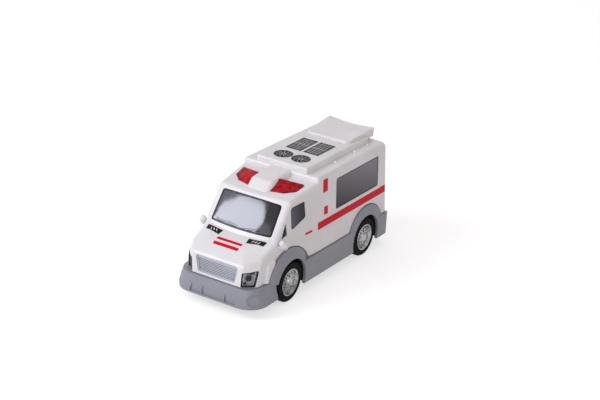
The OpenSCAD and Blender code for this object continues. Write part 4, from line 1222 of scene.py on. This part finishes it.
@dataclass
class HoodTrim(Assembly):
    """Dark vents on the hood with three pale louvres each, and the red bars and strips."""

    louvres: int = 3
    pitch: float = 2.7
    louvre_w: float = 0.75
    louvre_len: float = 2.6
    louvre_edge: float = 0.02
    lift: float = 0.05
    slant: float = math.radians(28)
    middle_share: float = 0.715
    set_back: float = 0.15
    reach: float = 5.0

    def build(self) -> None:
        """Dress the vents and the red stickers, and lay the louvres on the vents."""
        self.shop.keep("dark_vinyl", "hood_vents")
        self.shop.keep("red_vinyl", "hood_bars", "side_stickers_left", "side_stickers_right",
                       "door_handles")
        low, high = self.shop.box("hood_vents")
        target = self.shop.nodes["hood_vents"]
        x = (low.x + high.x) / 2 - self.set_back
        places = []
        for side in Side:
            for i in range(self.louvres):
                step = (i - (self.louvres - 1) / 2) * self.pitch
                start = Vector((x, side.value * (high.y * self.middle_share + step),
                                high.z + self.reach))
                spot, normal = meet(target, start, Vector((0, 0, -1)))
                turn = Vector((0, 0, 1)).rotation_difference(normal).to_matrix().to_4x4()
                slant = Matrix.Rotation(-side.value * self.slant, 4, "Z")
                places.append(Matrix.Translation(spot) @ turn @ slant)
        bar = block((self.louvre_len, self.louvre_w, self.lift * 2), self.louvre_edge)
        self.shop.overlay(repeat(bar, places), "hood_vent_louvres", "hood_vents", "white_ink")


@dataclass(frozen=True)
class HoleRing:
    """A ring of holes in a rim: its radii in millimetres, its pitch, cut and shift in facets."""

    inner: float
    outer: float
    pitch: int
    cut: int
    shift: int
    least_up: float = 0.5

    def takes(self, face: Face, steps: int) -> bool:
        """Tell whether a face of the rim is cut away for a hole.

        Args:
            face: Face to test.
            steps: Number of facets around the rim.

        Returns:
            True for a face of a hole.
        """
        cut = (facet(face, steps) + self.shift) % self.pitch < self.cut
        within = self.inner < hub_distance(face) < self.outer
        return cut and within and face.normal.y > self.least_up


@dataclass
class Wheels(Assembly):
    """Four wheels: a soft tyre with cut tread on a plated rim with two rings of holes."""

    steps: int = 90
    smooth_degrees: float = 34.0
    # Radius and depth along the wall of a tyre of radius wall_r, from the rim to the tread.
    wall_r: float = 17.2
    wall: tuple[Pair, ...] = (
        (11.83, -0.9), (12.05, -0.3), (12.5, 0.0), (13.1, -0.05), (13.35, -0.4), (13.7, -0.4),
        (13.95, -0.05), (14.8, 0.0), (15.5, -0.12), (16.2, -0.55), (16.8, -1.2), (17.12, -1.75))
    grooves: tuple[float, ...] = (0.25, 0.5, 0.75)
    groove_top: float = 0.48
    groove_floor: float = 0.36
    groove_depth: float = 0.85
    sipe_every: int = 5
    sipe_shift: int = 2
    sipe_depth: float = 0.45
    tread_within: float = 0.25
    tread_lean: float = 0.3
    # Radius and depth along a rim, from the middle of its cap round to the middle of its back.
    rim_shape: tuple[Pair, ...] = (
        (0, 0.32), (1.2, 0.3), (2.3, 0.2), (3.2, -0.02), (3.7, -0.3), (3.95, -0.7), (4.3, -1.0),
        (4.5, -1.05), (5.6, -1.3), (6.6, -1.45), (6.95, -1.35), (7.1, -1.35), (8.6, -1.6),
        (8.75, -1.55), (9.0, -1.75), (9.3, -2.1), (9.6, -2.1), (9.85, -1.7), (10.4, -0.55),
        (10.62, -0.2), (10.9, -0.02), (11.3, 0.0), (11.6, -0.15), (11.78, -0.5), (11.78, -9.6),
        (10.4, -9.6), (10.4, -3.6), (2.9, -3.6), (2.9, -11.8), (1.53, -11.8), (1.53, -2.3),
        (0, -2.3))
    dish_rings: tuple[Pair, ...] = ((4.3, 6.6), (7.1, 8.55), (8.8, 10.0))
    dish_depth: float = 3.0
    hole_rings: tuple[HoleRing, ...] = (
        HoleRing(7.2, 8.55, 5, 3, 0), HoleRing(5.65, 6.55, 10, 6, 2))
    hole_edge: float = 0.12
    hole_depth: float = 1.1
    nuts: int = 5
    nut_sides: int = 6
    nut_ring: float = 5.0
    nut_r: float = 0.5
    nut_t: float = 0.8
    nut_y: float = -0.9
    nut_edge: float = 0.12
    nut_start: float = 0.25

    def build(self) -> None:
        """Model one tyre and one rim and set four of each."""
        low, high = self.shop.box("front_left_tyre")
        tyre = self.tyre((high.z - low.z) / 2, high.y - low.y)
        rim = self.rim()
        for axle in Axle:
            for side in Side:
                name = f"{axle.value}_{side.word}"
                low, high = self.shop.box(f"{name}_tyre")
                left = side is Side.LEFT
                spot = (low + high) / 2
                spot.y = high.y if left else low.y
                turn = Matrix.Rotation(0.0 if left else math.pi, 4, "Z")
                where = Matrix.Translation(spot * MM) @ turn
                for master, kind, keys in ((tyre, "tyre", ("rubber",)),
                                           (rim, "rim", ("plated", "hollow", "plated_deep"))):
                    piece = placed_copy(master, f"{name}_{kind}_moulding", where)
                    self.shop.place(piece, f"{name}_{kind}", *keys)
            self.shop.keep("steel", f"{axle.value}_axle")
        for master in (tyre, rim):
            bpy.data.objects.remove(master)

    def tyre(self, radius: float, width: float) -> Obj:
        """Model a tyre with its outer face at Y zero.

        Args:
            radius: Outer radius.
            width: Width.

        Returns:
            The tyre.
        """
        side = [(r * radius / self.wall_r, y) for r, y in self.wall]
        floor = radius - self.groove_depth
        tread = []
        for share in self.grooves:
            y = -width * share
            tread += [(radius, y + self.groove_top), (floor, y + self.groove_floor),
                      (floor, y - self.groove_floor), (radius, y - self.groove_top)]
        back = [(r, -width - y) for r, y in reversed(side)]
        tyre = lathe("tyre", side + tread + back + [side[0]], self.steps)
        with editing(tyre):
            pick_faces(tyre, lambda f: self.on_sipe(f, radius, width))
            bpy.ops.mesh.extrude_region_shrink_fatten(
                TRANSFORM_OT_shrink_fatten={"value": -self.sipe_depth * MM})
        smooth(tyre, self.smooth_degrees, weighted=False)
        return tyre

    def on_sipe(self, face: Face, radius: float, width: float) -> bool:
        """Tell whether a face of a tyre is cut for the tread.

        Args:
            face: Face to test.
            radius: Outer radius.
            width: Width.

        Returns:
            True for one facet in so many, shifted from row to row.
        """
        if hub_distance(face) < radius - self.tread_within or abs(face.normal.y) > self.tread_lean:
            return False
        row = int(-face.calc_center_median().y / MM / width * (len(self.grooves) + 1))
        return (facet(face, self.steps) + row * self.sipe_shift) % self.sipe_every == 0

    def in_dish(self, face: Face) -> bool:
        """Tell whether a face lies in a ring of the rim's dish that takes the painted shade."""
        shaded = any(inner < hub_distance(face) < outer for inner, outer in self.dish_rings)
        return shaded and face.calc_center_median().y > -self.dish_depth * MM

    def rim(self) -> Obj:
        """Model a rim with its outer face at Y zero.

        Returns:
            The rim.
        """
        rim = lathe("rim", self.rim_shape, self.steps)
        with editing(rim):
            pick_faces(rim, self.in_dish)
            # The rings of the dish take the darker plating as painted shade.
            paint_picked(rim, Slot.DISH)
            for ring in self.hole_rings:
                pick_faces(rim, lambda f, r=ring: r.takes(f, self.steps))
                bpy.ops.mesh.inset(thickness=self.hole_edge * MM)
                bpy.ops.mesh.extrude_region_move(
                    TRANSFORM_OT_translate={"value": (0, -self.hole_depth * MM, 0)})
                # The sunk holes are painted black as shade.
                paint_picked(rim, Slot.EDGE)
        smooth(rim, self.smooth_degrees, weighted=False)
        deselect()
        bpy.ops.mesh.primitive_cylinder_add(
            vertices=self.nut_sides, radius=self.nut_r * MM, depth=self.nut_t * MM,
            rotation=(math.radians(90), 0, 0), location=(self.nut_ring * MM, self.nut_y * MM, 0))
        nut = bpy.context.object
        settle(nut)
        modify(nut, "BEVEL", width=self.nut_edge * MM, segments=BEVEL_SEGMENTS)
        turns = [Matrix.Rotation(-2 * math.pi * (k + self.nut_start) / self.nuts, 4, "Y")
                 for k in range(self.nuts)]
        return join([rim, *repeat(nut, turns)], "rim")


@dataclass
class Underside(Assembly):
    """Chassis, gearbox, gears and screws, which stay as they were built."""

    def build(self) -> None:
        """Dress the nodes."""
        keep = self.shop.keep
        keep("black", "chassis", "gearbox_left", "gearbox_right")
        keep("acetal", "axle_gear", "idler_gear")
        keep("steel", "idler_pin", "flywheel", "flywheel_shaft", "gearbox_screws", "body_screws")


class LampShape(Enum):
    """Outline of a lamp, as Blender spells it."""

    OBLONG = "RECTANGLE"
    OVAL = "ELLIPSE"


@dataclass(frozen=True)
class Lamp:
    """A soft lamp, or a lit card whose reflection shows in the windscreen.

    A softbox has its place in the room. A card has its place from the middle of the key light's
    plane, across and up, and its roll in that plane.
    """

    name: str
    place: tuple[float, ...]
    size: Pair
    power: float
    tint: Point
    shape: LampShape = LampShape.OBLONG
    roll: float = 0.0


# Tints of the light: cool daylight, the bluish cards and the warm room.
COOL: Point = (0.88, 0.92, 1.0)
BLUISH: Point = (0.85, 0.87, 1.0)
WARM: Point = (1.0, 0.94, 0.93)


@dataclass
class Studio:
    """White floor, soft light and the camera."""

    # Camera: its angles in degrees, its place, lens and sensor in millimetres, its sight in metres.
    azimuth: float = 122.04
    elevation: float = 23.05
    roll: float = 3.22
    eye: Point = (1101.5, 701.9, 618.6)
    lens: float = 101.65
    sensor: float = 36.0
    sight: float = 30.0
    # Lamps and floor, in metres and watts.
    aim: Point = (0.03, 0.0, 0.06)
    key_from: Point = (0.625, -0.53, 0.573)
    key_away: float = 1.6
    key_rise: float = 0.45
    key_size: Pair = (0.6, 0.5)
    key_power: float = 5.2
    cards: tuple[Lamp, ...] = (
        Lamp("bright_card", (-0.026, -0.066), (0.9, 0.084), 3.8, BLUISH, LampShape.OVAL,
             math.radians(23.7)),
        Lamp("dim_card", (0.116, -0.122), (1.35, 0.3), 3.3, BLUISH, roll=math.radians(17.2)))
    softboxes: tuple[Lamp, ...] = (
        Lamp("side_softbox", (0.5, 1.9, 0.7), (1.2, 1.0), 3.4, WARM),
        Lamp("front_softbox", (1.9, 0.1, 0.45), (1.0, 0.6), 8.0, COOL))
    ambient: float = 0.47
    floor_size: float = 12.0
    floor_albedo: float = 0.72
    floor_lift: float = 0.6

    def build(self) -> None:
        """Set up the floor, the world, the lamps and the camera."""
        bpy.context.scene.view_settings.view_transform = "Standard"
        self.floor()
        self.world()
        toward = Vector(self.key_from).normalized()
        middle = Vector(self.aim) + toward * self.key_away
        key_place = middle + Vector((0, 0, self.key_rise))
        key = Lamp("key_softbox", tuple(key_place), self.key_size, self.key_power, COOL)
        self.hang(key, key_place, Vector(self.aim))
        level = (-toward).to_track_quat("-Z", "Y").to_matrix()
        for card in self.cards:
            spot = middle + level @ Vector((*card.place, 0.0))
            self.hang(card, spot, spot - toward)
        for box in self.softboxes:
            self.hang(box, Vector(box.place), Vector(self.aim))
        self.camera()

    def seen(self, tree: Tree) -> Socket:
        """Tell which rays see the white background.

        Args:
            tree: Node tree that takes the nodes.

        Returns:
            1 for camera, glossy and transmission rays.
        """
        path = add(tree, "ShaderNodeLightPath").outputs
        first = add(tree, "ShaderNodeMath", operation="MAXIMUM",
                    links={0: path["Is Camera Ray"], 1: path["Is Glossy Ray"]})
        both = add(tree, "ShaderNodeMath", operation="MAXIMUM",
                   links={0: first.outputs[0], 1: path["Is Transmission Ray"]})
        return both.outputs[0]

    def floor(self) -> None:
        """Lay a pale floor that takes the shadow and shows white."""
        deselect()
        bpy.ops.mesh.primitive_plane_add(size=self.floor_size)
        floor = bpy.context.object
        floor.name = "floor"
        mat = bpy.data.materials.new("pale_floor")
        tree = bare_tree(mat)
        diffuse = add(tree, "ShaderNodeBsdfDiffuse", {"Color": (self.floor_albedo,) * 3 + (1.0,)})
        lift = add(tree, "ShaderNodeMath", {1: self.floor_lift}, {0: self.seen(tree)},
                   operation="MULTIPLY")
        glow = add(tree, "ShaderNodeEmission", links={"Strength": lift.outputs[0]})
        both = add(tree, "ShaderNodeAddShader", links={0: diffuse.outputs[0], 1: glow.outputs[0]})
        add(tree, "ShaderNodeOutputMaterial", links={"Surface": both.outputs[0]})
        floor.data.materials.append(mat)
        floor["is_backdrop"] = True

    def world(self) -> None:
        """Light the room evenly, white where it is seen."""
        world = bpy.data.worlds.new("studio")
        bpy.context.scene.world = world
        tree = bare_tree(world)
        soft = add(tree, "ShaderNodeBackground", {"Color": (*WARM, 1.0), "Strength": self.ambient})
        white = add(tree, "ShaderNodeBackground",
                    {"Color": (1.0, 1.0, 1.0, 1.0), "Strength": 1.0})
        mix = add(tree, "ShaderNodeMixShader",
                  links={0: self.seen(tree), 1: soft.outputs[0], 2: white.outputs[0]})
        add(tree, "ShaderNodeOutputWorld", links={"Surface": mix.outputs[0]})

    def hang(self, lamp: Lamp, place: Vector, aim: Vector) -> None:
        """Hang a lamp in the room.

        Args:
            lamp: The lamp.
            place: Where it hangs.
            aim: What it faces.
        """
        data = bpy.data.lights.new(lamp.name, "AREA")
        data.shape = lamp.shape.value
        data.size, data.size_y = lamp.size
        data.energy = lamp.power
        data.color = lamp.tint
        obj = bpy.data.objects.new(lamp.name, data)
        obj.location = place
        face = (aim - place).to_track_quat("-Z", "Y").to_matrix()
        obj.rotation_euler = (face @ Matrix.Rotation(lamp.roll, 3, "Z")).to_euler()
        bpy.context.scene.collection.objects.link(obj)

    def camera(self) -> None:
        """Set the camera at the photograph's angle."""
        az, el, roll = (math.radians(v) for v in (self.azimuth, self.elevation, self.roll))
        back = Vector((math.sin(az) * math.cos(el), -math.cos(az) * math.cos(el), math.sin(el)))
        right = Vector((0, 0, 1)).cross(back).normalized()
        up = back.cross(right)
        across = math.cos(roll) * right + math.sin(roll) * up
        rise = -math.sin(roll) * right + math.cos(roll) * up
        data = bpy.data.cameras.new("camera")
        data.lens = self.lens
        data.sensor_width = self.sensor
        data.clip_end = self.sight
        camera = bpy.data.objects.new("camera", data)
        turn = Matrix((across, rise, back)).transposed().to_4x4()
        camera.matrix_world = Matrix.Translation(Vector(self.eye) * MM) @ turn
        bpy.context.scene.collection.objects.link(camera)
        bpy.context.scene.camera = camera


def write_sizes() -> None:
    """Bring the view layer up to date.
    """
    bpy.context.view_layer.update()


def main() -> None:
    """Build the toy's looks around its solids."""
    shop = Workshop()
    Studio().build()
    for kind in (Shell, Glazing, Grille, Headlamps, Beacons, RoofPrints, HoodTrim, Wheels,
                 Underside):
        LOG.info("building %s", kind.__name__)
        kind(shop).build()
    write_sizes()


if __name__ == "__main__":
    main()
